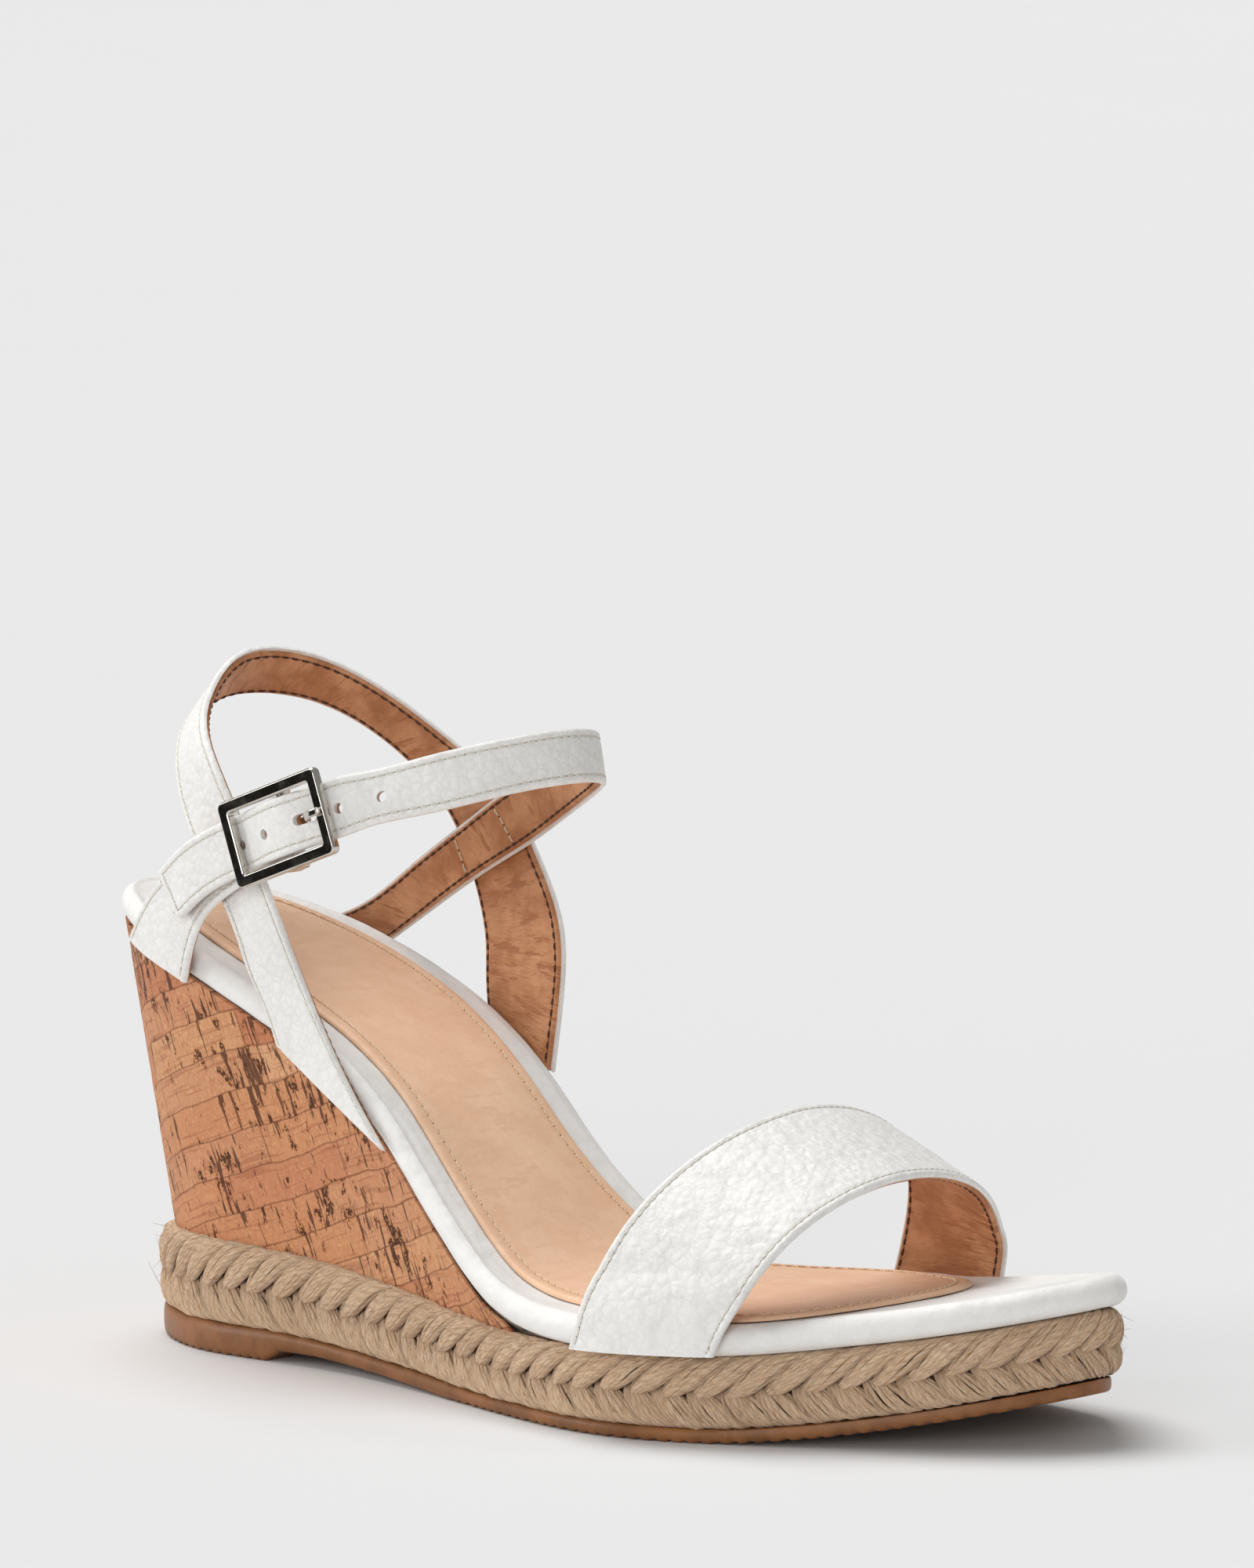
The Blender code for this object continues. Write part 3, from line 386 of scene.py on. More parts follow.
def tubes(paths, radius, side_count=6):
    """Closed round threads along paths of shape (threads, points, 3), thinning to their ends.

    Also returns each point's (run, cosine, sine) for materials that follow the thread.
    """
    paths = np.asarray(paths, float)
    m, n, _ = paths.shape
    ahead = unit(np.gradient(paths, axis=1))
    side = unit(np.cross(ahead, ANY_UP))
    top = np.cross(side, ahead)
    radius = np.broadcast_to(radius, (m, n)).astype(float)
    turn = np.linspace(0, 2 * pi, side_count + 1)[:-1]
    c, s = np.cos(turn), np.sin(turn)
    ring = side[:, :, None] * c[None, None, :, None] + top[:, :, None] * s[None, None, :, None]
    points = paths[:, :, None] + ring * radius[:, :, None, None]
    index = np.arange(m * n * side_count).reshape(m, n, side_count)
    here, there = index[:, :-1], index[:, 1:]
    quads = np.stack([here, np.roll(here, -1, axis=2), np.roll(there, -1, axis=2), there], axis=-1)
    faces = quads.reshape(-1, 4).tolist()
    faces += index[:, 0, ::-1].tolist() + index[:, -1].tolist()
    run = np.cumsum(np.linalg.norm(np.diff(paths, axis=1, prepend=paths[:, :1]), axis=2), axis=1)
    along = np.broadcast_to(run[:, :, None], points.shape[:3])
    around = np.broadcast_to(c, points.shape[:3]), np.broadcast_to(s, points.shape[:3])
    fibre = np.stack([along, *around], axis=-1).reshape(-1, 3)
    return points.reshape(-1, 3), faces, fibre


# ---------------------------------------------------------------- materials
def rgb(r, g, b):
    """Linear colour from display values of 0 to 255."""
    c = np.array((r, g, b)) / 255
    linear = np.where(c <= 0.04045, c / 12.92, ((c + 0.055) / 1.055) ** 2.4)
    return (*linear.tolist(), 1.0)


class Look:
    """A material, with short names for the nodes that shape it."""

    def __init__(self, name, **inputs):
        self.material = bpy.data.materials.new(name)
        self.material.use_nodes = True
        self.tree = self.material.node_tree
        self.tree.nodes.clear()
        self.shader = self.node("ShaderNodeBsdfPrincipled", **inputs)
        out = self.node("ShaderNodeOutputMaterial")
        self.put(out.inputs[0], self.shader.outputs[0])
        self.place = self.stretched(self.node("ShaderNodeTexCoord").outputs["Object"], 1000, 1000, 1000)

    def put(self, socket, value):
        if isinstance(value, bpy.types.NodeSocket):
            self.tree.links.new(value, socket)
        else:
            socket.default_value = value

    def node(self, kind, **inputs):
        made = self.tree.nodes.new(kind)
        for key, value in inputs.items():
            self.put(made.inputs[key.replace("_", " ")], value)
        return made

    def set(self, **inputs):
        for key, value in inputs.items():
            self.put(self.shader.inputs[key.replace("_", " ")], value)
        return self.material

    def math(self, operation, a, b=0.0):
        made = self.tree.nodes.new("ShaderNodeMath")
        made.operation = operation
        self.put(made.inputs[0], a)
        self.put(made.inputs[1], b)
        return made.outputs[0]

    def times(self, a, b):
        return self.math("MULTIPLY", a, b)

    def plus(self, a, b):
        return self.math("ADD", a, b)

    def minus(self, a, b):
        return self.math("SUBTRACT", a, b)

    def mix(self, share, a, b):
        made = self.tree.nodes.new("ShaderNodeMix")
        made.data_type = "RGBA"
        for index, value in ((0, share), (6, a), (7, b)):
            self.put(made.inputs[index], value)
        return made.outputs[2]

    def span(self, value, low, high):
        """0 to 1 as value goes from low to high, smoothly."""
        made = self.node("ShaderNodeMapRange", Value=value, From_Min=low, From_Max=high)
        made.interpolation_type = "SMOOTHSTEP"
        return made.outputs[0]

    def ramp(self, value, *stops):
        made = self.node("ShaderNodeValToRGB", Fac=value)
        elements = made.color_ramp.elements
        for at, _ in stops[2:]:
            elements.new(at)
        for element, (at, colour) in zip(elements, stops):
            element.position = at
            element.color = colour
        return made.outputs[0]

    def attribute(self, name):
        made = self.tree.nodes.new("ShaderNodeAttribute")
        made.attribute_name = name
        return made.outputs["Vector"]

    def parts(self, vector):
        return self.node("ShaderNodeSeparateXYZ", Vector=vector).outputs[:]

    def vector(self, x, y, z=0.0):
        return self.node("ShaderNodeCombineXYZ", X=x, Y=y, Z=z).outputs[0]

    def stretched(self, vector, *scale):
        made = self.tree.nodes.new("ShaderNodeVectorMath")
        made.operation = "MULTIPLY"
        self.put(made.inputs[0], vector)
        made.inputs[1].default_value = scale
        return made.outputs[0]

    def noise(self, at, scale, detail=3.0, rough=0.5):
        made = self.node("ShaderNodeTexNoise", Vector=at, Scale=scale, Detail=detail, Roughness=rough)
        return made.outputs[0]

    def shifted(self, at, scale, amount):
        """at, moved about by noise of the given scale, by up to about amount mm."""
        moved = self.node("ShaderNodeTexNoise", Vector=at, Scale=scale, Detail=2.0).outputs["Color"]
        made = self.tree.nodes.new("ShaderNodeVectorMath")
        made.operation = "MULTIPLY_ADD"
        self.put(made.inputs[0], moved)
        made.inputs[1].default_value = (2 * amount,) * 3
        self.put(made.inputs[2], at)
        return made.outputs[0]

    def cells(self, at, scale, feature="DISTANCE_TO_EDGE"):
        made = self.node("ShaderNodeTexVoronoi", Vector=at, Scale=scale)
        made.feature = feature
        return made.outputs["Distance"]

    def round_cells(self, at, scale):
        made = self.node("ShaderNodeTexVoronoi", Vector=at, Scale=scale)
        made.feature = "SMOOTH_F1"
        made.inputs["Smoothness"].default_value = 0.55
        return made.outputs["Distance"]

    def chance(self, vector):
        return self.node("ShaderNodeTexWhiteNoise", Vector=vector).outputs["Value"]

    def bump(self, height_value, depth, under=None):
        """Normal for a relief depth mm deep."""
        made = self.node("ShaderNodeBump", Height=height_value, Distance=depth * MM)
        if under is not None:
            self.put(made.inputs["Normal"], under)
        return made.outputs["Normal"]


def white_leather_look(name, grain):
    """Pebbled leather: soft rounded cells of 2 mm with finer ones between, slight creases, and painted shade
    in the valleys between cells.
    """
    look = Look(name, Specular_IOR_Level=0.3)
    at = look.shifted(look.place, 0.45, 0.9)
    pebble = look.minus(1.0, look.round_cells(at, 0.48))
    fine = look.minus(1.0, look.round_cells(at, 1.2))
    soft = look.noise(look.place, 0.2, 3.0)
    strength = look.span(look.noise(look.place, 0.055, 2.0), 0.25, 0.6)
    # painted shade: the colour darkens in the valleys between the pebbles
    valley_shade = look.span(look.cells(at, 0.48), 0.15, 0.0)
    tone = look.mix(look.span(soft, 0.3, 0.75), rgb(236, 235, 232), rgb(231, 229, 225))
    # how much painted shade the valleys get, more where the pebbles are strong
    depth = look.times(look.plus(0.07, look.times(strength, 0.13)), grain)
    tone = look.mix(look.times(valley_shade, depth), tone, rgb(188, 182, 172))
    normal = look.bump(soft, 0.5)
    normal = look.bump(fine, 0.05 * grain, normal)
    relief = look.times(pebble, look.plus(0.45, look.times(strength, 0.55)))
    normal = look.bump(relief, 0.34 * grain, normal)
    normal = look.bump(look.noise(look.place, 3.5, 3.0, 0.6), 0.02, normal)
    rough = look.plus(look.times(soft, 0.16), 0.46)
    return look.set(Base_Color=tone, Roughness=rough, Normal=normal)


def lining_look(name, light, dark, wrinkle):
    """Smooth leather with fine wrinkles across the strap and small pores, with painted shade in the wrinkles'
    troughs.
    """
    look = Look(name, Specular_IOR_Level=0.4)
    along, across, _ = look.parts(look.attribute("skin"))
    lines = look.vector(look.times(along, 0.55), look.times(across, 0.12), 0.0)
    folds = look.noise(look.shifted(lines, 0.8, 0.4), 1.0, 4.0, 0.6)
    cloud = look.noise(look.place, 0.12, 4.0, 0.6)
    pores = look.span(look.cells(look.place, 2.2, "F1"), 0.0, 0.35)
    tone = look.mix(look.span(cloud, 0.3, 0.7), light, dark)
    # painted shade: the troughs of the wrinkles are darkened towards the dark tone
    tone = look.mix(look.span(folds, 0.47, 0.36), tone, dark)
    normal = look.bump(folds, wrinkle)
    normal = look.bump(look.noise(look.place, 0.5, 4.0, 0.6), 0.16, normal)
    normal = look.bump(pores, 0.012, normal)
    rough = look.plus(0.42, look.times(cloud, 0.2))
    return look.set(Base_Color=tone, Roughness=rough, Normal=normal)


def jute_look():
    """Twisted bast fibre: plies wind round each yarn, with pale streaks and slow changes of tone. Painted
    shade darkens the grooves between plies, the edges of each bundle and the yarns' ends where the rows meet.
    """
    look = Look("jute", Specular_IOR_Level=0.18, Sheen_Weight=0.12, Sheen_Roughness=0.6)
    run, c, s = look.parts(look.attribute("fibre"))
    # share is painted shade: set on the outer yarns of each bundle, at the yarns' ends and in full on the
    # backing
    kind, share, _ = look.parts(look.attribute("tint_and_shade"))
    shift = look.times(kind, 40.0)
    turn = look.plus(look.times(run, 2.3), look.times(look.math("ARCTAN2", s, c), 2.0))
    ply = look.math("SINE", look.plus(turn, shift))
    wound = look.times(turn, 0.9)
    streak_at = look.vector(look.times(run, 0.22), wound, shift)
    streaks = look.noise(streak_at, 1.5, 4.0, 0.65)
    cloud = look.noise(look.place, 0.07, 3.0)
    tone = look.ramp(
        streaks, (0.3, rgb(156, 112, 74)), (0.41, rgb(228, 190, 151)), (0.56, rgb(244, 216, 184)),
        (0.74, rgb(252, 238, 218)),
    )
    tone = look.mix(look.times(kind, 0.3), tone, rgb(214, 176, 138))
    tone = look.mix(look.times(look.span(cloud, 0.45, 0.75), 0.25), tone, rgb(206, 172, 136))
    # painted shade in the grooves between the plies
    tone = look.mix(look.times(look.span(ply, -0.5, -1.0), 0.32), tone, rgb(160, 116, 80))
    # painted shade from share: dark brown between bundles and where the rows meet
    tone = look.mix(look.times(share, 0.85), tone, rgb(104, 66, 40))
    normal = look.bump(look.span(ply, -1.0, 0.2), 0.09)
    normal = look.bump(streaks, 0.36, normal)
    return look.set(Base_Color=tone, Roughness=0.82, Normal=normal)


CORK_ROW, CORK_SLAB = 7.4, 41.0  # width of a row of cork and length of one slab in it
CORK_TILT = radians(15)


def cork_look():
    """Slabs of cork glued in leaning rows: each has its own tone, with fissures across the row."""
    look = Look("cork", Specular_IOR_Level=0.22)
    s, h, _ = look.parts(look.attribute("wall"))

    def turned(a, b, sign):
        return look.plus(look.times(s, a), look.times(h, sign * b))

    u, v = turned(cos(CORK_TILT), sin(CORK_TILT), 1), turned(-sin(CORK_TILT), cos(CORK_TILT), 1)
    drift = look.noise(look.vector(look.times(u, 0.05), look.times(v, 0.02)), 1.0, 3.0)
    v = look.plus(v, look.times(drift, 3.4))
    rows = look.math("DIVIDE", v, CORK_ROW)
    row = look.math("FLOOR", rows)
    edge = look.math("ABSOLUTE", look.minus(look.math("FRACT", rows), 0.5))
    shift = look.chance(look.vector(row, 3.0))
    slabs = look.plus(look.math("DIVIDE", u, CORK_SLAB), look.times(shift, 7.0))
    piece = look.math("FLOOR", slabs)
    butt = look.math("ABSOLUTE", look.minus(look.math("FRACT", slabs), 0.5))
    lot = look.chance(look.vector(row, piece, 1.0))
    base = look.ramp(
        lot, (0.0, rgb(204, 140, 98)), (0.3, rgb(214, 158, 112)), (0.6, rgb(226, 178, 134)),
        (0.85, rgb(194, 126, 88)), (1.0, rgb(218, 162, 120)),
    )
    grain_at = look.vector(u, look.times(v, 0.45), look.times(row, 9.7))
    grain = look.noise(grain_at, 1.3, 5.0, 0.7)
    base = look.mix(look.span(grain, 0.35, 0.72), look.mix(0.5, base, rgb(176, 108, 74)), base)
    base = look.mix(look.span(look.noise(grain_at, 2.6, 4.0, 0.7), 0.56, 0.74), base, rgb(229, 180, 139))
    bands = look.noise(look.vector(look.times(u, 0.05), look.times(v, 1.1), 4.0), 1.0, 3.0)
    base = look.mix(look.times(look.span(bands, 0.56, 0.62), 0.4), base, rgb(150, 84, 56))
    crack_at = look.vector(look.times(u, 0.62), look.times(v, 0.075), look.times(row, 5.3))
    crack = look.noise(look.shifted(crack_at, 1.2, 0.35), 1.15, 3.0, 0.6)
    patch_at = look.vector(u, look.times(v, 0.55), look.times(row, 3.1))
    patch = look.noise(patch_at, 0.36, 4.0, 0.7)
    crowd = look.span(look.noise(look.vector(u, v, 8.0), 0.055, 2.0), 0.42, 0.66)
    need = look.minus(0.63, look.times(crowd, 0.085))
    fissure = look.span(look.minus(crack, need), 0.0, 0.035)
    blot = look.span(look.minus(patch, look.plus(need, 0.015)), 0.0, 0.03)
    halo = look.span(look.minus(patch, look.minus(need, 0.05)), 0.0, 0.06)
    flecks = look.span(look.noise(look.vector(u, v, 2.0), 1.6, 2.0), 0.58, 0.64)
    base = look.mix(look.times(halo, 0.4), base, rgb(170, 98, 60))
    dark = look.mix(flecks, rgb(82, 48, 30), rgb(226, 164, 92))
    base = look.mix(blot, base, dark)
    base = look.mix(look.times(fissure, 0.9), base, rgb(88, 50, 30))
    seam = look.span(edge, 0.472, 0.492)
    join = look.span(butt, 0.4925, 0.4975)
    lines = look.math("MAXIMUM", seam, join)
    base = look.mix(look.times(lines, 0.5), base, rgb(122, 66, 42))
    sunk = look.plus(look.plus(fissure, blot), look.times(lines, 0.5))
    normal = look.bump(grain, 0.12)
    normal = look.bump(look.minus(1.0, sunk), 0.22, normal)
    rough = look.plus(0.5, look.times(grain, 0.2))
    return look.set(Base_Color=base, Roughness=rough, Normal=normal)


def rubber_look():
    """Brown rubber, a little cloudy and specked."""
    look = Look("rubber_outsole", Specular_IOR_Level=0.35)
    cloud = look.noise(look.place, 0.1, 4.0, 0.6)
    specks = look.noise(look.place, 2.4, 3.0, 0.6)
    tone = look.mix(look.span(cloud, 0.35, 0.7), rgb(122, 79, 46), rgb(150, 99, 58))
    tone = look.mix(look.times(look.span(specks, 0.6, 0.75), 0.3), tone, rgb(190, 142, 100))
    normal = look.bump(specks, 0.03)
    rough = look.plus(0.3, look.times(cloud, 0.25))
    return look.set(Base_Color=tone, Roughness=rough, Normal=normal)


def nickel_look():
    """Polished nickel with faint haze and fine marks."""
    look = Look("nickel", Metallic=1.0)
    marks = look.noise(look.stretched(look.place, 0.4, 3.0, 3.0), 1.5, 4.0, 0.6)
    haze = look.noise(look.place, 0.35, 3.0)
    tone = look.mix(look.span(haze, 0.35, 0.7), rgb(214, 210, 203), rgb(196, 190, 181))
    rough = look.plus(0.09, look.times(look.span(haze, 0.3, 0.8), 0.12))
    return look.set(Base_Color=tone, Roughness=rough, Normal=look.bump(marks, 0.006))


def thread_look(name, light, dark):
    """Twisted sewing thread: the plies wind round it, with painted shade in the grooves between them."""
    look = Look(name, Specular_IOR_Level=0.3)
    run, c, s = look.parts(look.attribute("fibre"))
    turn = look.math("ARCTAN2", s, c)
    ply = look.math("SINE", look.plus(look.times(run, 11.0), look.times(turn, 2.0)))
    # painted shade: the thread darkens towards the dark tone in the grooves between plies
    tone = look.mix(look.span(ply, -0.9, 0.4), dark, light)
    fluff = look.noise(look.place, 3.0, 2.0)
    tone = look.mix(look.times(look.span(fluff, 0.45, 0.8), 0.3), tone, dark)
    return look.set(Base_Color=tone, Roughness=0.6, Normal=look.bump(ply, 0.05))


def plain_look(name, light, dark, scale, relief, rough, metallic=0.0):
    """Simple surface for pieces inside the sole: two tones, a little relief."""
    look = Look(name, Metallic=metallic)
    cloud = look.noise(look.place, scale, 5.0, 0.6)
    tone = look.mix(look.span(cloud, 0.3, 0.7), light, dark)
    varied = look.plus(rough, look.times(cloud, 0.15))
    return look.set(Base_Color=tone, Roughness=varied, Normal=look.bump(cloud, relief))


WHITE = white_leather_look("white_leather", 1.0)
COVER = white_leather_look("cover_leather", 0.3)
LINING = lining_look("tan_lining", rgb(204, 148, 106), rgb(168, 108, 68), 0.9)
INSOCK = lining_look("insock_tan", rgb(238, 199, 166), rgb(230, 188, 153), 0.06)
JUTE = jute_look()
CORK = cork_look()
RUBBER = rubber_look()
NICKEL = nickel_look()
WHITE_THREAD = thread_look("white_thread", rgb(236, 232, 222), rgb(205, 198, 184))
TAN_THREAD = thread_look("tan_thread", rgb(246, 222, 192), rgb(214, 176, 138))
CREAM_THREAD = thread_look("cream_thread", rgb(236, 220, 196), rgb(204, 180, 148))
BROWN_THREAD = thread_look("brown_thread", rgb(92, 60, 42), rgb(52, 32, 22))
# needle holes: short tubes at each stitch end, coloured with painted shade for the dark of the hole
NEEDLE_HOLE_SHADE = plain_look("needle_hole", rgb(176, 168, 154), rgb(150, 141, 127), 2.0, 0.02, 0.7)
TAN_HOLE_SHADE = plain_look("hole_shade_tan", rgb(176, 126, 90), rgb(150, 102, 70), 2.0, 0.02, 0.7)
DARK_HOLE_SHADE = plain_look("hole_shade_dark", rgb(120, 76, 50), rgb(96, 58, 38), 2.0, 0.02, 0.7)
INSIDE = {
    "core_foam": plain_look("core_foam", rgb(214, 206, 190), rgb(192, 182, 164), 0.8, 0.2, 0.75),
    "fibreboard": plain_look("fibreboard", rgb(150, 116, 84), rgb(112, 84, 60), 1.4, 0.12, 0.7),
    "spring_steel": plain_look("spring_steel", rgb(150, 152, 156), rgb(112, 116, 122), 0.9, 0.02, 0.25, 1.0),
    "nickel": NICKEL, "white_leather": WHITE, "tan_lining": LINING, "insock_tan": INSOCK,
    "jute": JUTE, "cork": CORK, "rubber_outsole": RUBBER,
}
for cad_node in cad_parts.values():
    for held in cad_node.material_slots:
        key = held.material.name.split(".")[0] if held.material else ""
        held.material = INSIDE.get(key, INSIDE["core_foam"])


# ---------------------------------------------------------------- outsole
RIB_PITCH, RIB_DEPTH = 2.9, 0.35
HEEL_END, TREAD_START = 47, 108  # the ribs leave out the arch between the heel block and the tread
HEEL_STEP = (47.99, 48.01, 51.99, 52.01)  # sections that keep the heel block's front sharp
OUTSOLE_SECTION = (  # (distance in from the edge, share of the thickness), from the bottom up
    (3.0, 0.0), (0.8, 0.0), (0.25, 0.12), (0.0, 0.35), (0.0, 0.7), (0.25, 0.93), (0.8, 1.0), (3.0, 1.0),
)


def outsole():
    """Rubber sole with rounded edges and cross ribs underneath."""
    path = outline(OUTSOLE_INSET)[0]
    start, end = path[:, 0].min() + 0.02, path[:, 0].max() - 0.02
    bend = (1 - np.cos(np.linspace(0, pi, 60)[:30])) / 2
    bend *= 6 / bend[-1]
    middle = np.arange(start + 6.4, end - 6.4, 0.55)
    xs = np.unique(np.round(np.concatenate([start + bend, middle, end - bend, HEEL_STEP]), 4))
    outer, inner = sides(path, xs)
    low, high = outsole_bottom(xs), outsole_top(xs)
    ribbed = (xs < HEEL_END) | (xs > TREAD_START)
    low = low + np.where(ribbed, RIB_DEPTH * (np.sin(2 * pi * xs / RIB_PITCH) > 0.2), 0.0)
    half, mid = (inner - outer) / 2, (inner + outer) / 2
    thick = high - low
    profile = []
    for inset, rise in OUTSOLE_SECTION:
        reach = np.maximum(half - inset, half * 0.05)
        profile.append((reach, low + thick * rise))
    right = [np.stack([xs, mid + reach, z], axis=1) for reach, z in profile]
    left = [np.stack([xs, mid - reach, z], axis=1) for reach, z in profile[::-1]]
    points, faces = skin(np.stack(right + left, axis=1))
    make("outsole_rubber", points, faces, RUBBER, replaces=["outsole"])


outsole()


# ---------------------------------------------------------------- jute braid
BUNDLE_PITCH = 6.7
BUNDLE_HALF = 3.95  # half the length of sole that one bundle covers
YARNS = 9
YARN_RADIUS = 0.44
PLATFORM_MIDDLE = (118.0, -2.0)  # loose fibres point away from it
BACKING = (  # (distance out from the edge, share of the braid's height) round the backing
    (-4.2, 0.05), (-3.0, 0.05), (-1.9, 0.2), (-2.5, 0.44),
    (-1.6, 0.62), (-1.9, 0.9), (-3.4, 1.0), (-4.2, 1.0),
)


def braid_levels(x):
    """Lowest and highest level of the braid."""
    low = outsole_top(x) + 0.15
    return low, braid_top(x) + 0.1 - tip_droop(x)


def bundles(edge, low_share, high_share, lean, reach, depth, arc, phase, narrow, slack_out, crowned):
    """Yarn paths of one plaited row: slanting bundles laid side by side over a rounded roll.

    narrow is how far the bundles close up at their lower and upper ends; slack_out lifts those ends.
    """
    xy, out, length = edge
    count = int(round(length / BUNDLE_PITCH))
    spots = np.linspace(0, length, len(xy) + 1)
    loop, turned = closed(xy), closed(out)
    t = np.linspace(0, 1, 17)
    angle = np.radians(arc[0] + (arc[1] - arc[0]) * t)
    body = np.sin(pi * t)
    lens = 1 - narrow[0] * (1 - t) ** 3 - narrow[1] * t**3
    paths, tints = [], []
    for k in range(count):
        centre = (k + phase) * length / count
        own = rng.normal(0, 0.22), rng.normal(0, 0.12), rng.uniform(0, 1)
        for j in range(YARNS):
            place = (j - (YARNS - 1) / 2) / ((YARNS - 1) / 2)
            slack = rng.normal(0, 0.14) * body + rng.normal(0, 0.05)
            s = centre + own[0] + lean * (t - 0.5) * (1 + 0.08 * own[1]) + place * lens * BUNDLE_HALF + slack
            s = s % length
            at, normal = follow(s, spots, loop), follow(s, spots, turned)
            low, high = braid_levels(at[:, 0])
            tall = high - low
            middle = low + tall * (low_share + high_share) / 2
            half = tall * (high_share - low_share) / 2
            crown = crowned * (1 - place**2) * (0.5 + 0.5 * body)
            shingle = np.sign(lean) * place * 0.4 * body
            lift = slack_out[0] * (1 - t) ** 2 + slack_out[1] * t**2
            offset = -reach + depth * np.cos(angle) + crown + shingle + lift + own[1] + rng.normal(0, 0.09)
            z = middle + half * np.sin(angle) + rng.normal(0, 0.08)
            paths.append(np.column_stack([at + normal * offset[:, None], z]))
            # second part: painted shade on the outer yarns of each bundle, for the dark gaps between bundles
            tints.append((rng.uniform(0, 1), 0.4 * max(0.0, abs(place) - 0.7) / 0.3, own[2]))
    paths = np.array(paths)
    paths += 0.13 * np.stack([wobble(paths, 2.4, 11.0 * i) for i in (1, 2, 3)], axis=-1)
    return paths, np.array(tints), t


def braid_row(name, edge, shade, **shape):
    """One plaited row; shade is how much painted shade darkens its yarns at their lower and upper ends."""
    paths, tints, t = bundles(edge, **shape)
    radius = YARN_RADIUS * (0.86 + 0.28 * rng.random(len(paths)))[:, None] * np.ones(len(t))
    points, faces, fibre = tubes(paths, radius, 6)
    # painted shade at the yarns' lower and upper ends, raising the second part
    ends = shade[0] * (1 - t) ** 4 + shade[1] * t**4
    tint_and_shade = np.repeat(tints[:, None], len(t) * 6, axis=1).reshape(len(paths), len(t), 6, 3)
    tint_and_shade[..., 1] = np.maximum(tint_and_shade[..., 1], ends[None, :, None])
    make(name, points, faces, JUTE, attributes={"fibre": fibre, "tint_and_shade": tint_and_shade.reshape(-1, 3)})
    return paths


def fuzz(paths, count):
    """Loose fibres standing off the yarns."""
    strands = []
    for _ in range(count):
        path = paths[rng.integers(len(paths))]
        i = rng.integers(3, len(path) - 3)
        start = path[i]
        out = unit(start - np.array((*PLATFORM_MIDDLE, start[2])))
        ahead = unit(path[i + 1] - path[i - 1]) * rng.choice((-1, 1))
        length = rng.uniform(0.8, 3.0)
        bend = rng.normal(0, 0.6, 3)
        s = np.linspace(0, 1, 6)[:, None]
        spread = out * rng.uniform(0.25, 0.8) + ahead * rng.uniform(0.4, 1.1) + bend * 0.4
        strands.append(start + out * 0.25 + length * (spread * s + (bend * 0.45 - out * 0.25) * s**2))
    strands = np.array(strands)
    floor_z = outsole_bottom(strands[..., 0].ravel()).reshape(strands.shape[:2]) + 0.6
    strands[..., 2] = np.maximum(strands[..., 2], floor_z)
    radius = 0.055 * np.linspace(1.0, 0.45, 6)[None, :] * (0.7 + 0.6 * rng.random((count, 1)))
    points, faces, fibre = tubes(strands, radius, 4)
    make("jute_fuzz", points, faces, JUTE, attributes={"fibre": fibre, "tint_and_shade": np.zeros_like(fibre)})


def braid_backing(edge):
    """The inner side of the braid, seen between the bundles, coloured in full with painted shade."""
    xy, out, _ = edge
    columns = []
    for outwards, share in BACKING:
        at = xy + out * outwards
        low, high = braid_levels(at[:, 0])
        columns.append(np.column_stack([at, low + (high - low) * share]))
    points, faces = skin(np.stack(columns, axis=1), closed_path=True)
    run = np.repeat(np.arange(len(xy)) * 1.4, len(BACKING))
    fibre = np.column_stack([run, points[:, 2], points[:, 2] * 0])
    # painted shade: a second part of 1.25 colours the whole backing dark brown
    tint_and_shade = np.tile((0.6, 1.25, 0.0), (len(points), 1))
    make("jute_backing", points, faces, JUTE, replaces=["jute_braid"],
         attributes={"fibre": fibre, "tint_and_shade": tint_and_shade})


edge = even_path(outline(BRAID_INSET - 1.0, toe_offset=RIM_INSET + 1.2, count=2880), 900)
braid_backing(edge)
lower_row = braid_row(
    "jute_lower_row", edge, (0.25, 1.0), low_share=0.02, high_share=0.56, lean=-9.5, reach=2.6,
    depth=1.5, arc=(-96, 78), phase=0.1, narrow=(0.0, 0.85), slack_out=(0.0, -0.5), crowned=1.0,
)
upper_row = braid_row(
    "jute_upper_row", edge, (0.15, 0.2), low_share=0.39, high_share=0.97, lean=12.0, reach=3.0,
    depth=1.95, arc=(-66, 104), phase=0.5, narrow=(0.82, 0.0), slack_out=(0.5, 0.0), crowned=0.9,
)
fuzz(np.concatenate([lower_row, upper_row]), 1300)


# ---------------------------------------------------------------- cork wrap
def wall_points(path_and_normal, count):
    """Points of a closed path from the wedge's front edge round the heel to its front edge."""
    return resample(path_behind(path_and_normal[0], WEDGE_FRONT), count=count)


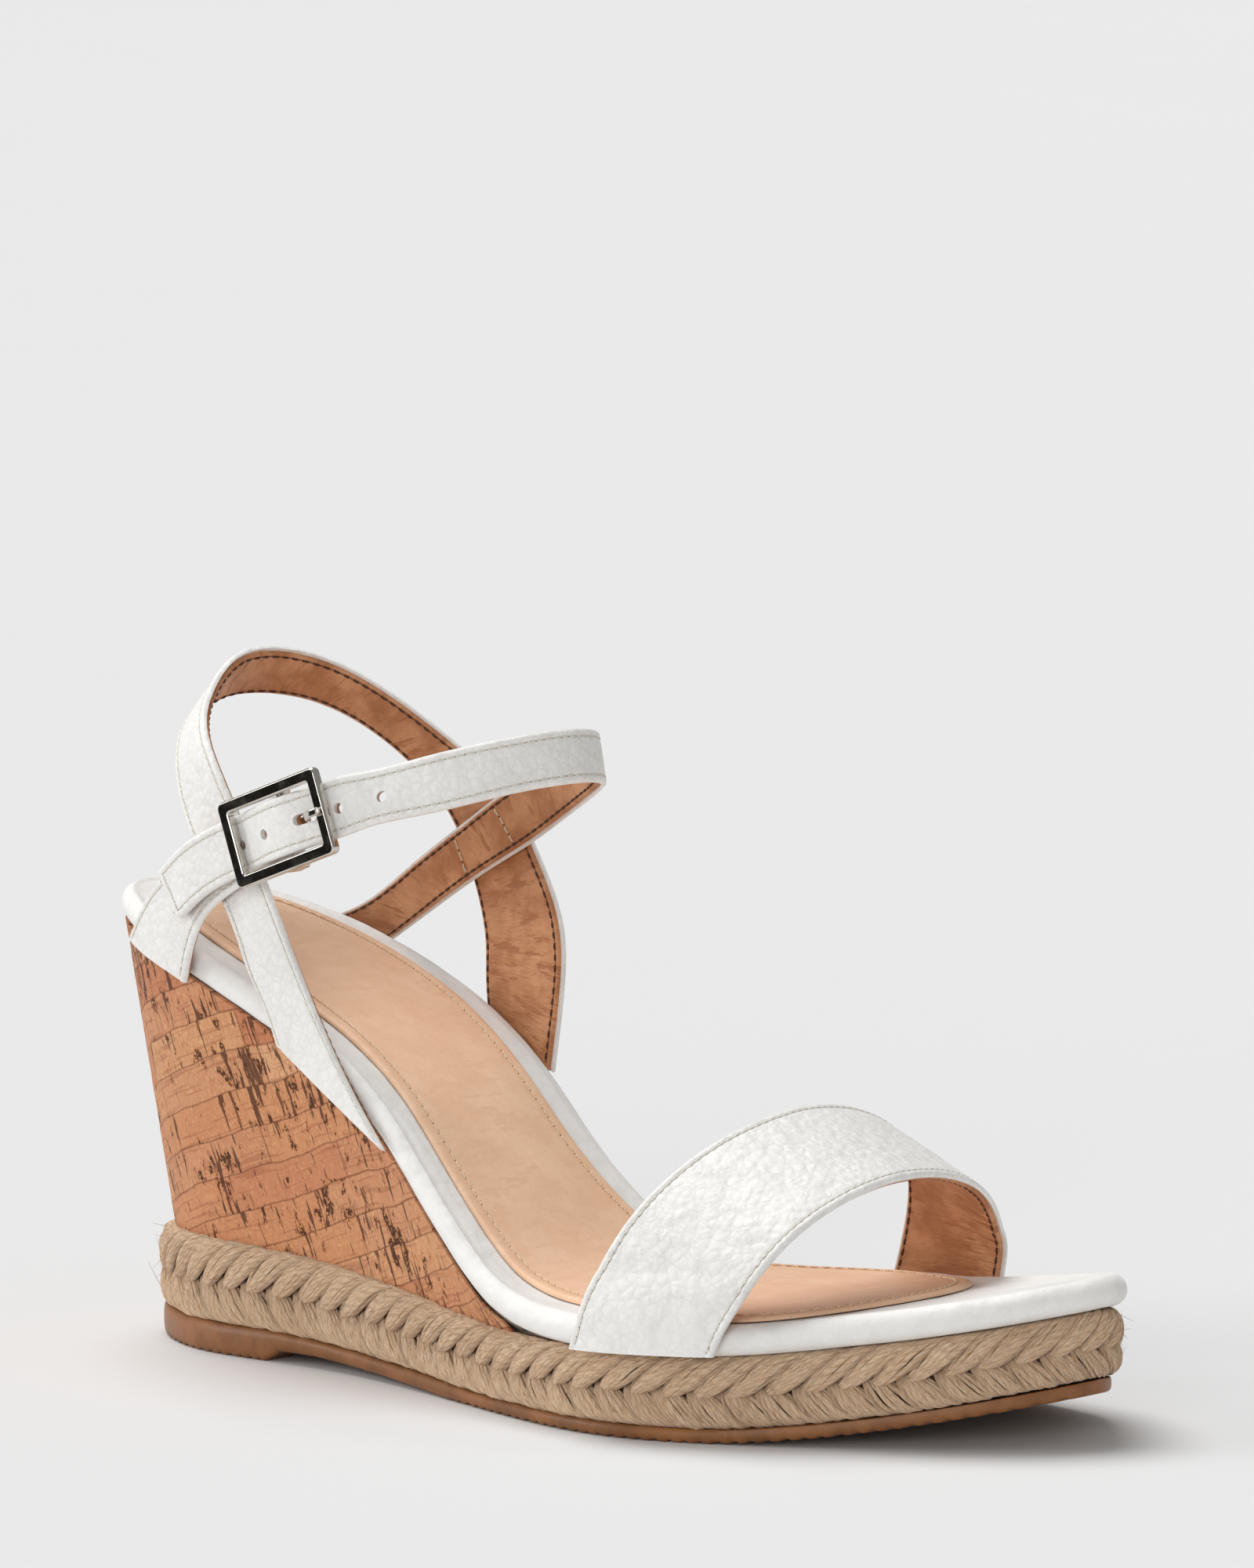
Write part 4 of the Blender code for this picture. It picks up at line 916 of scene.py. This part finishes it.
def cork_wrap():
    """Cork sheet round the wedge, slightly uneven, from inside the braid up to the footbed's rim."""
    count, rows = 560, 46
    low = wall_points(outline(CORE_INSET + 0.2), count)
    high = wall_points(rim_outline(CORK_TOP_INSET), count)
    low_in = wall_points(outline(CORE_INSET - CORK_THICKNESS), count)
    high_in = wall_points(rim_outline(CORK_TOP_INSET - CORK_THICKNESS), count)
    z_low, z_high = braid_top(low[:, 0]) - 0.8, seat(high[:, 0]) - 0.12
    share = np.linspace(0, 1, rows)[None, :, None]
    bottom, top = np.column_stack([low, z_low]), np.column_stack([high, z_high])
    outside = bottom[:, None] * (1 - share) + top[:, None] * share
    normal = unit(np.cross(np.gradient(outside, axis=0), np.gradient(outside, axis=1)))
    outside = outside + normal * (0.1 * wobble(outside, 5.0) + 0.05 * wobble(outside, 1.6))[..., None]
    inside = np.stack([np.column_stack([high_in, z_high]), np.column_stack([low_in, z_low])], axis=1)
    grid = np.concatenate([outside, inside], axis=1)
    points, faces = skin(grid)
    s = chord_knots(high, 1.0)[:, None] * np.ones(rows + 2)
    wall = np.stack([s, grid[..., 2], np.zeros_like(s)], axis=-1)
    make("cork_skin", points, faces, CORK, replaces=["cork_wrap"], attributes={"wall": wall})


cork_wrap()


# ---------------------------------------------------------------- footbed cover and insock
def from_waist(path, count, front_x=150.0):
    """A closed path re-cut to start where its outer side passes front_x, heading for the toe."""
    outer = np.where(path[:, 1] < CENTRE[1])[0]
    start = int(outer[np.abs(path[outer, 0] - front_x).argmin()])
    path = np.roll(path, -start, axis=0)
    loop = closed(path)
    run = chord_knots(loop, 1.0)
    inner = np.where(path[:, 1] > CENTRE[1])[0]
    end = int(inner[np.abs(path[inner, 0] - front_x).argmin()])
    front = np.linspace(0, run[end], count)
    back = np.linspace(run[end], run[-1], count + 1)[1:-1]
    return follow(np.concatenate([front, back]), run, loop)


COVER_CREST, COVER_TUCK = 5.95, 2.6  # height of its top face, and how far that runs in under the insock
ROLL_MIDDLE, ROLL_RADII = (-2.55, 3.0), (2.75, 2.95)  # the rounded rim: (outwards, upwards)
COVER_UNDERSIDE = ((-4.2, 5.0), (-1.6, 3.9), (-0.9, 2.9), (-1.6, 1.6), (-3.4, 0.8), (-9.0, 0.8))


def footbed_cover():
    """Padded rim of leather turned over the edge, running on as the top of the toe."""
    count = 420
    ring = from_waist(rim_outline(0.0)[0], count)
    out = outward(ring, 2)
    hidden = from_waist(insock_outline(COVER_TUCK), count)
    section = [(-9.0, 0.0), (-3.0, 0.0), (-1.9, 0.05)]
    for a in np.radians(np.arange(-68, 91, 9)):
        section.append((ROLL_MIDDLE[0] + ROLL_RADII[0] * cos(a), ROLL_MIDDLE[1] + ROLL_RADII[1] * sin(a)))

    def line_round(outwards, lift):
        return np.column_stack([ring + out * outwards, seat(ring[:, 0]) + lift])

    columns = [line_round(*place) for place in section]
    crest = columns[-1]
    goal = np.column_stack([hidden, seat(hidden[:, 0]) + COVER_CREST - 0.03])
    reach = np.linalg.norm(goal[:, :2] - crest[:, :2], axis=1)
    for share in np.linspace(0, 1, 17)[1:]:
        line = crest * (1 - share) + goal * share
        dip = -0.16 * np.sin(pi * share) * np.clip(reach / 12, 0, 1)
        line[:, 2] = seat(line[:, 0]) + COVER_CREST + dip - 0.03 * share
        columns.append(line)
    under = columns[-1].copy()
    under[:, 2] -= COVER_THICKNESS
    columns.append(under)
    columns += [line_round(*place) for place in COVER_UNDERSIDE]
    grid = np.stack(columns, axis=1)
    seen = slice(3, len(section) + 15)
    grid[:, seen, 2] += 0.1 * wobble(grid[:, seen], 7.0) + 0.05 * wobble(grid[:, seen], 3.0, 5.0)
    grid[..., 2] -= tip_droop(grid[..., 0])
    points, faces = skin(grid, closed_path=True)
    make("cover_leather", points, faces, COVER, replaces=["footbed_cover"])


footbed_cover()


HOLE_LEVELS = np.array((-0.3, 0.0, 0.045))  # below and just above the surface


def stitches(line, normal, pitch=2.05, gap=0.5, rise=0.13, sink=0.22):
    """Thread paths and needle holes along a line that lies on a surface."""
    run = chord_knots(line, 1.0)
    count = max(1, int(round(run[-1] / pitch)))
    step = run[-1] / count
    marks = np.arange(count + 1) * step + rng.normal(0, 0.03, count + 1) * step
    t = np.linspace(0, 1, 7)
    starts, ends = marks[:-1] + gap / 2, marks[1:] - gap / 2
    at = starts[:, None] * (1 - t) + ends[:, None] * t
    lift = rise * np.sin(pi * t) ** 0.5 - sink * np.abs(2 * t - 1) ** 6
    threads = follow(at, run, line) + follow(at, run, normal) * lift[None, :, None]
    centre, out = follow(marks, run, line), follow(marks, run, normal)
    return threads, centre[:, None] + out[:, None] * HOLE_LEVELS[None, :, None]


def sew(name, seams, look, hole_shade_look, slot, radius=0.19, **shape):
    """Threads and needle holes of several (line, normal) seams, as one piece each; the holes are short tubes
    coloured with painted shade.
    """
    made = [stitches(line, normal, **shape) for line, normal in seams]
    threads, holes = np.concatenate([m[0] for m in made]), np.concatenate([m[1] for m in made])
    points, faces, fibre = tubes(threads, radius, 8)
    make(f"{name}_thread", points, faces, look, attributes={"fibre": fibre})
    # the needle holes, coloured with painted shade
    points, faces, _ = tubes(holes, 0.24, 8)
    make(f"{name}_holes", points, faces, hole_shade_look)


INSOCK_UNDERSIDE, INSOCK_TOP = 6.15, 7.1
INSOCK_SEAM = 2.98
INSOCK_LINES = (0.0, 0.12, 0.35, 0.8, 1.6, 2.6, 2.85, 3.1, 3.4, 4.4)


def insock():
    """Smooth leather sock with a turned-down edge, and a seam 3 mm in."""
    rings = [resample(closed(insock_outline(inset)), count=521)[:-1] for inset in INSOCK_LINES]
    first, last = rings[0], rings[-1]
    spine = last.copy()
    spine[:, 1] = np.mean(sides(last, last[:, 0]), axis=0)
    columns = [np.column_stack([first, seat(first[:, 0]) + INSOCK_UNDERSIDE])]
    for inset, ring in zip(INSOCK_LINES, rings):
        drop = 0.55 * max(0.0, 1 - inset / 0.9) ** 2 + 0.16 * np.exp(-(((inset - INSOCK_SEAM) / 0.3) ** 2))
        columns.append(np.column_stack([ring, seat(ring[:, 0]) + INSOCK_TOP - drop]))
    for share in np.linspace(0, 1, 16)[1:]:
        ring = last * (1 - share) + spine * share
        crown = 0.25 * share * (2 - share)
        columns.append(np.column_stack([ring, seat(ring[:, 0]) + INSOCK_TOP + crown]))
    closing = columns[-1].copy()
    closing[:, 2] -= 0.9
    columns.append(closing)
    grid = np.stack(columns, axis=1)
    top = slice(2, len(columns) - 1)
    grid[:, top, 2] += 0.06 * wobble(grid[:, top], 14.0)
    points, faces = skin(grid, closed_path=True)
    make(
        "insock_leather", points, faces, INSOCK,
        replaces=["insock"], attributes={"skin": points},
    )
    seam = resample(closed(insock_outline(INSOCK_SEAM)), step=0.6)
    line = np.column_stack([seam, seat(seam[:, 0]) + INSOCK_TOP - 0.08])
    up = np.tile((0.0, 0.0, 1.0), (len(line), 1))
    sew("insock", [(line, up)], TAN_THREAD, TAN_HOLE_SHADE, "insock_tan", radius=0.25, pitch=2.5, rise=0.16)


insock()


# ---------------------------------------------------------------- straps
RIM_PATH = rim_outline(0.0)[0]
EDGE_LINES = np.array((0.0, 0.08, 0.25, 0.5, 0.8, 1.1, 1.35, 1.55, 1.75, 2.0, 2.4, 3.0))
SEAM_LINE, LINING_SEAM_LINE = 7, 4
LINING_INSET = 0.7


def hug_rim(grid):
    """Moves the feet of a strap sideways, so that they lie against the outside of the rim."""
    x, y, z = grid[..., 0], grid[..., 1], grid[..., 2]
    outer, inner = np.reshape(sides(RIM_PATH, x.ravel()), (2, *x.shape))
    above = z - seat(x.ravel()).reshape(x.shape) - RIM_HEIGHT
    share = np.clip((HUG_FADE - above) / (HUG_FADE - 1), 0, 1)
    held = np.where(y < 0, np.minimum(y, outer - STRAP_STANDOFF), np.maximum(y, inner + STRAP_STANDOFF))
    grid[..., 1] = y + (held - y) * share
    return grid


class Band:
    """A strap's middle surface as a fine grid whose outer lines keep set distances from its edges."""

    def __init__(self, upper, lower, side, inset=0.0, step=0.8, tips=(0.0, 0.0), middle=9, ready=False):
        up, low = (np.asarray(upper), np.asarray(lower)) if ready else smooth_edges(upper, lower, 900)
        run = chord_knots((up + low) / 2, 1.0)
        ends = np.concatenate([EDGE_LINES[1:], run[-1] - EDGE_LINES])
        at = np.unique(np.round(np.concatenate([[0.0], ends, np.arange(3.4, run[-1] - 3.4, step)]), 4))
        up, low = follow(at, run, up), follow(at, run, low)
        width = np.linalg.norm(up - low, axis=1)
        near = EDGE_LINES[None] + inset + np.zeros((len(at), 1))
        for radius, distance in ((tips[0], at), (tips[1], run[-1] - at)):
            if radius:
                q = np.clip(radius - distance, 0, radius)
                near += (radius - np.sqrt(radius**2 - q**2))[:, None] * np.linspace(1, 0.25, len(EDGE_LINES))
        near /= width[:, None]
        centre = np.linspace(0, 1, middle + 2)[None, 1:-1]
        core = near[:, -1:] + (1 - 2 * near[:, -1:]) * centre
        share = np.concatenate([near, core, 1 - near[:, ::-1]], axis=1)
        grid = up[:, None] * (1 - share[..., None]) + low[:, None] * share[..., None]
        self.grid = hug_rim(grid)
        self.normal = unit(np.cross(np.gradient(self.grid, axis=0), -np.gradient(self.grid, axis=1)) * side)
        self.edge = np.minimum(share, 1 - share) * width[:, None] - inset
        for used, distance in zip(tips, (at, run[-1] - at)):
            if used:
                self.edge = np.minimum(self.edge, distance[:, None])
        self.at, self.total = at, run[-1]
        self.skin = np.stack([at[:, None] + share * 0, share * width[:, None], share * 0], axis=-1)

    def face(self, base, round_edge, sign, line=SEAM_LINE, groove=0.16, plump=0.12, crease=0.1, seed=0.0):
        """Offset of the outer (sign 1) or foot (sign -1) face from the middle surface."""
        d, seam_inset = self.edge, EDGE_LINES[line]
        q = np.clip(round_edge - d, 0, round_edge)
        rounding = round_edge - np.sqrt(np.maximum(round_edge**2 - q**2, 0))
        bead = 0.09 * np.exp(-(((d - 0.85) / 0.4) ** 2))
        sunk = groove * np.exp(-(((d - seam_inset) / 0.28) ** 2))
        puff = plump * np.clip((d - 1.8) / 4, 0, 1) ** 0.7
        soft = crease * wobble(self.grid, 6.5, seed)
        fold_at = self.skin / (1.6, 6.0, 1.0) + (0.0, 0.0, seed)
        folds = crease * 0.55 * wobble(fold_at, 1.0, 3.0) * np.clip(d / 1.5, 0, 1)
        return sign * (base - rounding + bead - sunk + puff) + (soft + folds) * np.clip(d, 0.2, 1)

    def body(self, outside, inside):
        """(points, faces) of the closed piece between two offsets from the middle surface."""
        top = self.grid + self.normal * outside[..., None]
        bottom = self.grid + self.normal * inside[..., None]
        return skin(np.concatenate([top, bottom[:, ::-1]], axis=1))

    def both(self):
        """Lengthways and crossways place of every point of body(), for materials."""
        return {"skin": np.concatenate([self.skin, self.skin[:, ::-1]], axis=1)}

    def seam(self, line, offset, start=0.0, stop=0.0):
        """(line, normals) of a seam along the band, leaving out lengths at its start and end."""
        keep = (self.at >= start) & (self.at <= self.total - stop)
        normal = self.normal[keep, line]
        return self.grid[keep, line] + normal * offset[keep, line][:, None], normal

    def seam_across(self, station, offset):
        between = slice(SEAM_LINE, -SEAM_LINE)
        normal = self.normal[station, between]
        return self.grid[station, between] + normal * offset[station, between, None], normal


def strap(name, upper, lower, side, seed, middle=9, tips=(0.0, 0.0), trim=(1.0, 1.0), ready=False):
    """White outer, tan lining and both rows of stitches, replacing the CAD pieces of the same name."""
    band = Band(upper, lower, side, middle=middle, tips=tips, ready=ready)
    band.outside = band.face(0.98, 0.7, 1, seed=seed)
    points, faces = band.body(band.outside, np.full_like(band.outside, -0.06))
    band.leather = make(
        f"{name}_leather", points, faces, WHITE,
        replaces=[f"{name}_outer"], attributes=band.both(),
    )
    seams = [band.seam(line, band.outside, *trim) for line in (SEAM_LINE, -1 - SEAM_LINE)]
    if tips[1]:
        inset = EDGE_LINES[SEAM_LINE]
        seams.append(band.seam_across(int(np.abs(band.total - band.at - inset).argmin()), band.outside))
    sew(name, seams, WHITE_THREAD, NEEDLE_HOLE_SHADE, "white_leather")
    back = Band(upper, lower, side, inset=LINING_INSET, middle=middle, tips=tips, ready=ready)
    back.outside = back.face(
        0.95, 0.3, -1, LINING_SEAM_LINE, groove=0.12, plump=0.05, crease=0.16, seed=seed + 20
    )
    points, faces = back.body(np.full_like(back.outside, -0.04), back.outside)
    back.leather = make(
        f"{name}_back", points, faces, LINING,
        replaces=[f"{name}_lining"], attributes=back.both(),
    )
    seams = [back.seam(line, back.outside, *trim) for line in (LINING_SEAM_LINE, -1 - LINING_SEAM_LINE)]
    seams = [(line, -normal) for line, normal in seams]
    sew(f"{name}_back", seams, BROWN_THREAD, DARK_HOLE_SHADE, "tan_lining", radius=0.24, pitch=2.2, gap=0.75)
    return band, back


def crossing(over, sign, under, near):
    """Seams that run across one strap where the two seam lines of the strap behind it pass, near a point."""
    found = []
    face = over.grid + over.normal * over.outside[..., None]
    middle = over.grid[:, over.grid.shape[1] // 2]
    close = np.linalg.norm(middle - near, axis=1) < 22
    patch, normal = face[close], over.normal[close] * sign
    for line in (SEAM_LINE, -1 - SEAM_LINE):
        path = under.grid[:, line]
        path = path[np.linalg.norm(path - near, axis=1) < 30]
        spots = []
        for j in range(LINING_SEAM_LINE, patch.shape[1] - LINING_SEAM_LINE):
            gap = np.linalg.norm(patch[:, j, None, ::2] - path[None, :, ::2], axis=2).min(axis=1)
            k = int(gap.argmin())
            spots.append((patch[k, j], normal[k, j]))
        where, out = (np.array(part) for part in zip(*spots))
        smooth = np.array([where[max(0, i - 2) : i + 3].mean(axis=0) for i in range(len(where))])
        found.append((smooth, out))
    return found


strap("toe_band", TOE_BAND_REAR, TOE_BAND_FRONT, 1.0, seed=1.0, middle=20)
sling, _ = strap("sling", SLING_UPPER, SLING_LOWER, -1.0, seed=2.0, middle=14)


# ---------------------------------------------------------------- buckle
def at_buckle(e, o, w=0.0):
    """Drawing point from buckle axes, measured from the centre bar."""
    x, y, z = BAR_CENTRE
    c, s = cos(BUCKLE_TILT), sin(BUCKLE_TILT)
    return x + e * c - w * s, y - o, z + e * s + w * c


def edges_at_buckle(path):
    """Upper and lower edge of a strap whose middle follows (e, o) points."""
    return tuple([at_buckle(e, o, half) for e, o in path] for half in (STRAP_HALF, -STRAP_HALF))


def cut(obj, cutter):
    """Takes cutter's shape out of obj, and removes cutter."""
    modifier = obj.modifiers.new("punched", "BOOLEAN")
    modifier.object = cutter
    modifier.solver = "EXACT"
    cutter.hide_render = True
    bpy.context.view_layer.update()
    graph = bpy.context.evaluated_depsgraph_get()
    solid = bpy.data.meshes.new_from_object(obj.evaluated_get(graph))
    obj.modifiers.clear()
    obj.data = solid
    bpy.data.objects.remove(cutter, do_unlink=True)


def cutter_from(parts):
    points, faces = merge(parts)
    mesh = bpy.data.meshes.new("cutter")
    mesh.from_pydata(placed(points).tolist(), [], faces)
    turn_faces_out(mesh)
    return add("cutter", mesh)


def drill(centre, ahead, across, stretch=0.0):
    """A punch for one hole through centre, optionally stretched along ahead."""
    ahead, across = unit(ahead), unit(across)
    out = unit(np.cross(ahead, across)) * PUNCH_DEPTH
    turn = np.linspace(0, 2 * pi, 41)[:-1]
    c = HOLE_RADIUS * np.cos(turn) + stretch * np.sign(np.cos(turn))
    ring = centre + ahead * c[:, None] + across * (HOLE_RADIUS * np.sin(turn))[:, None]
    return skin(np.stack([ring - out, ring + out]))


def heel_tab():
    """Tab from the outer heel up to the buckle; its leather turns round the centre bar."""
    lead = edges_at_buckle(((-7.0, -SLEEVE_RADIUS), (-3.0, -SLEEVE_RADIUS)))
    up, low = smooth_edges(TAB_UPPER + tuple(lead[0]), TAB_LOWER + tuple(lead[1]), 500)
    strap("heel_tab", up, low, 1.0, seed=3.0, middle=12, ready=True, trim=(1.0, 2.0))
    turn = np.linspace(-pi / 2, pi / 2, 40)
    sleeve = [(SLEEVE_RADIUS * cos(a), SLEEVE_RADIUS * sin(a)) for a in turn]
    tail = smooth_curve([sleeve[-1], *TAIL], 30)[1:].tolist()
    lead_in = [(-3.1, -SLEEVE_RADIUS), (-1.5, -SLEEVE_RADIUS)]
    wrap_up, wrap_low = edges_at_buckle(lead_in + sleeve + tail)
    wrap = Band(wrap_up, wrap_low, 1.0, step=0.5, middle=8, tips=(0.0, 1.2), ready=True)
    outside = wrap.face(0.96, 0.6, 1, groove=0.1, crease=0.04, seed=4.0)
    points, faces = wrap.body(outside, np.full_like(outside, 0.05))
    chape = make("heel_tab_chape", points, faces, WHITE, attributes=wrap.both())
    corners = ((-2.2, -SLOT_WIDTH / 2), (-2.2, SLOT_WIDTH / 2), (4.0, SLOT_WIDTH / 2), (4.0, -SLOT_WIDTH / 2))
    slot = [[at_buckle(e, o, w) for o, w in corners] for e in (SLOT_REAR, SLOT_FRONT)]
    cut(chape, cutter_from([skin(slot)]))


heel_tab()


CROSSING = (62.0, 33.0, 102.0)  # where the ankle strap is sewn to the sling on the inner side


def ankle_strap():
    """Strap from the inner heel round the ankle and through the buckle, with five punched holes."""
    through = edges_at_buckle(STRAP_THROUGH_BUCKLE)
    upper = ANKLE_UPPER + tuple(through[0]) + FREE_END_UPPER
    lower = ANKLE_LOWER + tuple(through[1]) + FREE_END_LOWER
    band, back = strap(
        "ankle_strap", upper, lower, -1.0, seed=5.0, middle=8, tips=(0.0, 1.9), trim=(1.0, 1.6)
    )
    middle = band.grid[:, band.grid.shape[1] // 2]
    used_hole = np.array(at_buckle(USED_HOLE_E, USED_HOLE_O))
    used = int(np.linalg.norm(middle - used_hole, axis=1).argmin())
    run = chord_knots(middle, 1.0)
    stretch = USED_HOLE_LENGTH / 2 - HOLE_RADIUS
    punches = []
    for step in (-2, -1, 1, 2):
        i = int(np.abs(run - run[used] - stretch - step * HOLE_PITCH).argmin())
        punches.append(drill(middle[i], middle[i + 2] - middle[i - 2], band.grid[i, 3] - band.grid[i, -4]))
    along = np.array((cos(BUCKLE_TILT), 0, sin(BUCKLE_TILT)))
    across = np.array((-sin(BUCKLE_TILT), 0, cos(BUCKLE_TILT)))
    punches.append(drill(used_hole, along, across, stretch))
    for piece in (band.leather, back.leather):
        cut(piece, cutter_from(punches))
    near = np.array(CROSSING)
    sew("crossing_inner", crossing(back, -1, sling, near), CREAM_THREAD, DARK_HOLE_SHADE, "tan_lining", pitch=2.2)
    sew("crossing_outer", crossing(sling, 1, band, near), WHITE_THREAD, NEEDLE_HOLE_SHADE, "white_leather")


ankle_strap()


def rounded_rectangle(length, width, radius, steps=12):
    points = []
    for corner, (sx, sy) in enumerate(((1, 1), (-1, 1), (-1, -1), (1, -1))):
        x, y = sx * (length / 2 - radius), sy * (width / 2 - radius)
        for a in np.linspace(0, pi / 2, steps) + corner * pi / 2:
            points.append((x + radius * cos(a), y + radius * sin(a)))
    return points


LUG_LENGTH = 3.8
LUG_SECTION = ((0.3, -1.35), (0.08, -1.25), (0.0, -1.0))  # (distance in from the lug's side, level)
BAR_ENDS = ((0.0, 0.55), (0.12, 0.74), (0.3, 0.8))  # (distance from the bar's end, radius)


def buckle():
    """Nickel frame with a flat bevelled face, its lugs, the centre bar and the prong."""
    low, high = FRAME_LIFT, FRAME_LIFT + FRAME_THICK
    section = (  # (distance in from the frame's edge, corner radius, level) round one bar of the frame
        (0.25, 1.2, low), (0.05, 1.3, low + 0.2), (0.0, 1.35, low + 0.6), (0.0, 1.35, high - 0.62),
        (0.03, 1.33, high - 0.45), (0.1, 1.3, high - 0.3), (0.26, 1.2, high - 0.06), (0.34, 1.12, high),
        (0.4, 1.1, high), (FRAME_BAR - 0.4, 0.74, high), (FRAME_BAR - 0.34, 0.72, high),
        (FRAME_BAR - 0.26, 0.66, high - 0.05), (FRAME_BAR - 0.05, 0.52, high - 0.25),
        (FRAME_BAR, 0.5, high - 0.36), (FRAME_BAR, 0.5, low + 0.25), (FRAME_BAR - 0.2, 0.6, low),
    )
    loops = []
    for inset, radius, z in section:
        flat = rounded_rectangle(FRAME_LENGTH - 2 * inset, FRAME_HEIGHT - 2 * inset, radius)
        loops.append([at_buckle(e, z, w) for e, w in flat])
    parts = [skin(np.swapaxes(np.array(loops), 0, 1), closed_path=True)]
    lug_thick = FRAME_BAR - 0.1
    middle = (FRAME_HEIGHT - lug_thick) / 2 - 0.05
    for side in (-1, 1):
        rings = []
        for inset, o in (*LUG_SECTION, (0.0, low + 0.5)):
            flat = rounded_rectangle(LUG_LENGTH - 2 * inset, lug_thick - 2 * inset, 0.55)
            rings.append([at_buckle(e, o, w + side * middle) for e, w in flat])
        parts.append(skin(np.array(rings)))
    points, faces = merge(parts)
    make("buckle_frame_nickel", points, faces, NICKEL, body="buckle", replaces=["buckle_frame"])
    half = FRAME_HEIGHT / 2 + 0.1
    turn = np.linspace(0, 2 * pi, 33)[:-1]
    stations = [(left - half, r) for left, r in BAR_ENDS] + [(half - left, r) for left, r in BAR_ENDS[::-1]]
    rings = [[at_buckle(r * cos(a), r * sin(a), w) for a in turn] for w, r in stations]
    points, faces = skin(np.array(rings))
    make("buckle_bar_nickel", points, faces, NICKEL, body="buckle", replaces=["buckle_centre_bar"])
    curl = np.radians(np.linspace(-30, -265, 40))
    path = [(PRONG_LOOP * cos(a), PRONG_LOOP * sin(a)) for a in curl]
    arm = smooth_curve([path[-1], *PRONG_ARM], 90, 1.0)[1:]
    path = np.array(path + arm.tolist())
    ahead = unit(np.gradient(path, axis=0))
    lift = np.stack([-ahead[:, 1], ahead[:, 0]], axis=1)
    corner = rounded_rectangle(PRONG_THICK, PRONG_WIDTH, 0.3, 5)
    run = chord_knots(path, 1.0)
    rings = []
    for p, n, left in zip(path, lift, run[-1] - run):
        slim = 1 - 0.35 * max(0.0, 1 - left / 0.6) ** 2
        rings.append([at_buckle(*(p + n * h * slim), w * slim) for h, w in corner])
    points, faces = skin(np.array(rings))
    make("buckle_prong_nickel", points, faces, NICKEL, body="prong", replaces=["buckle_prong"])


buckle()


# ---------------------------------------------------------------- stage
FLOOR_RINGS = (  # (radius, height) of a floor that curves up far away
    (0.02, 0.0), (0.6, 0.0), (3.0, 0.0), (5.0, 0.06), (9.0, 0.45), (20.0, 2.0), (60.0, 8.0),
)
CARD_SIZE, CARD_DISTANCE = 0.18, 0.34  # dark card that the buckle's flat face reflects
CARD_SIDE = (-0.629, -0.766, -0.136)
SUNS = (  # name, direction towards it, strength, how wide it is in degrees
    ("key", (-0.45, 0.12, 1.2), 2.25, 38),
    ("fill", (0.45, -1.0, 0.16), 1.5, 40),
    ("side", (-0.95, -0.75, 0.4), 0.95, 26),
)
CAMERA_TURN, CAMERA_RISE = radians(39.4), radians(7.8)
CAMERA_TARGET, CAMERA_DISTANCE = (0.0004, 0.0062, 0.045), 1.548
CAMERA_LENS, CAMERA_SENSOR = 182.84, 36.0
CAMERA_SHIFT = (0.017, 0.235)


def matt(name, colour):
    """A dull surface; colour is a colour, or a function of the look that gives a colour socket."""
    look = Look(name, Specular_IOR_Level=0.0)
    return look.set(Base_Color=colour(look) if callable(colour) else colour, Roughness=1.0)


def floor_grey(look):
    return look.mix(look.noise(look.place, 0.004, 2.0), rgb(220, 220, 220), rgb(221, 221, 221))


def backdrop():
    """Floor, and the card that shows in the buckle."""
    turn = np.linspace(0, 2 * pi, 97)[:-1]
    dish = np.array([[(r * cos(a), r * sin(a), z) for a in turn] for r, z in FLOOR_RINGS])
    points, faces = skin(dish, caps=False)
    faces.append(list(range(len(turn))))
    floor_mesh = bpy.data.meshes.new("floor")
    floor_mesh.from_pydata(points.tolist(), [], faces)
    floor_mesh.shade_smooth()
    floor_mesh.materials.append(matt("floor", floor_grey))
    h = CARD_SIZE / 2
    card_mesh = bpy.data.meshes.new("dark_card")
    card_mesh.from_pydata([(-h, -h, 0), (h, -h, 0), (h, h, 0), (-h, h, 0)], [], [(0, 1, 2, 3)])
    card_mesh.materials.append(matt("dark_card", rgb(40, 38, 36)))
    floor, card = add("floor", floor_mesh), add("dark_card", card_mesh)
    towards = Vector(CARD_SIDE).normalized()
    card.location = Vector(placed(BAR_CENTRE).tolist()) + towards * CARD_DISTANCE
    card.rotation_euler = towards.to_track_quat("Z", "Y").to_euler()
    card.visible_camera = card.visible_diffuse = card.visible_shadow = card.visible_transmission = False


def lights_and_camera():
    """Grey surroundings, three soft suns and the camera that took the photo."""
    world = bpy.data.worlds.new("studio")
    bpy.context.scene.world = world
    world.use_nodes = True
    world.node_tree.nodes["Background"].inputs["Color"].default_value = (0.3, 0.3, 0.3, 1)
    for name, towards, energy, spread in SUNS:
        sun = bpy.data.lights.new(name, "SUN")
        sun.energy, sun.angle = energy, radians(spread)
        add(name, sun).rotation_euler = Vector(towards).to_track_quat("Z", "Y").to_euler()
    camera = bpy.data.cameras.new("camera")
    camera.lens, camera.sensor_width = CAMERA_LENS, CAMERA_SENSOR
    camera.shift_x, camera.shift_y = CAMERA_SHIFT
    camera.clip_end = 100.0
    eye = add("camera", camera)
    level = cos(CAMERA_RISE)
    back = Vector((sin(CAMERA_TURN) * level, -cos(CAMERA_TURN) * level, sin(CAMERA_RISE)))
    eye.location = Vector(CAMERA_TARGET) + back * CAMERA_DISTANCE
    eye.rotation_euler = back.to_track_quat("Z", "Y").to_euler()
    bpy.context.scene.camera = eye
    bpy.context.scene.view_settings.view_transform = "Standard"


backdrop()
lights_and_camera()
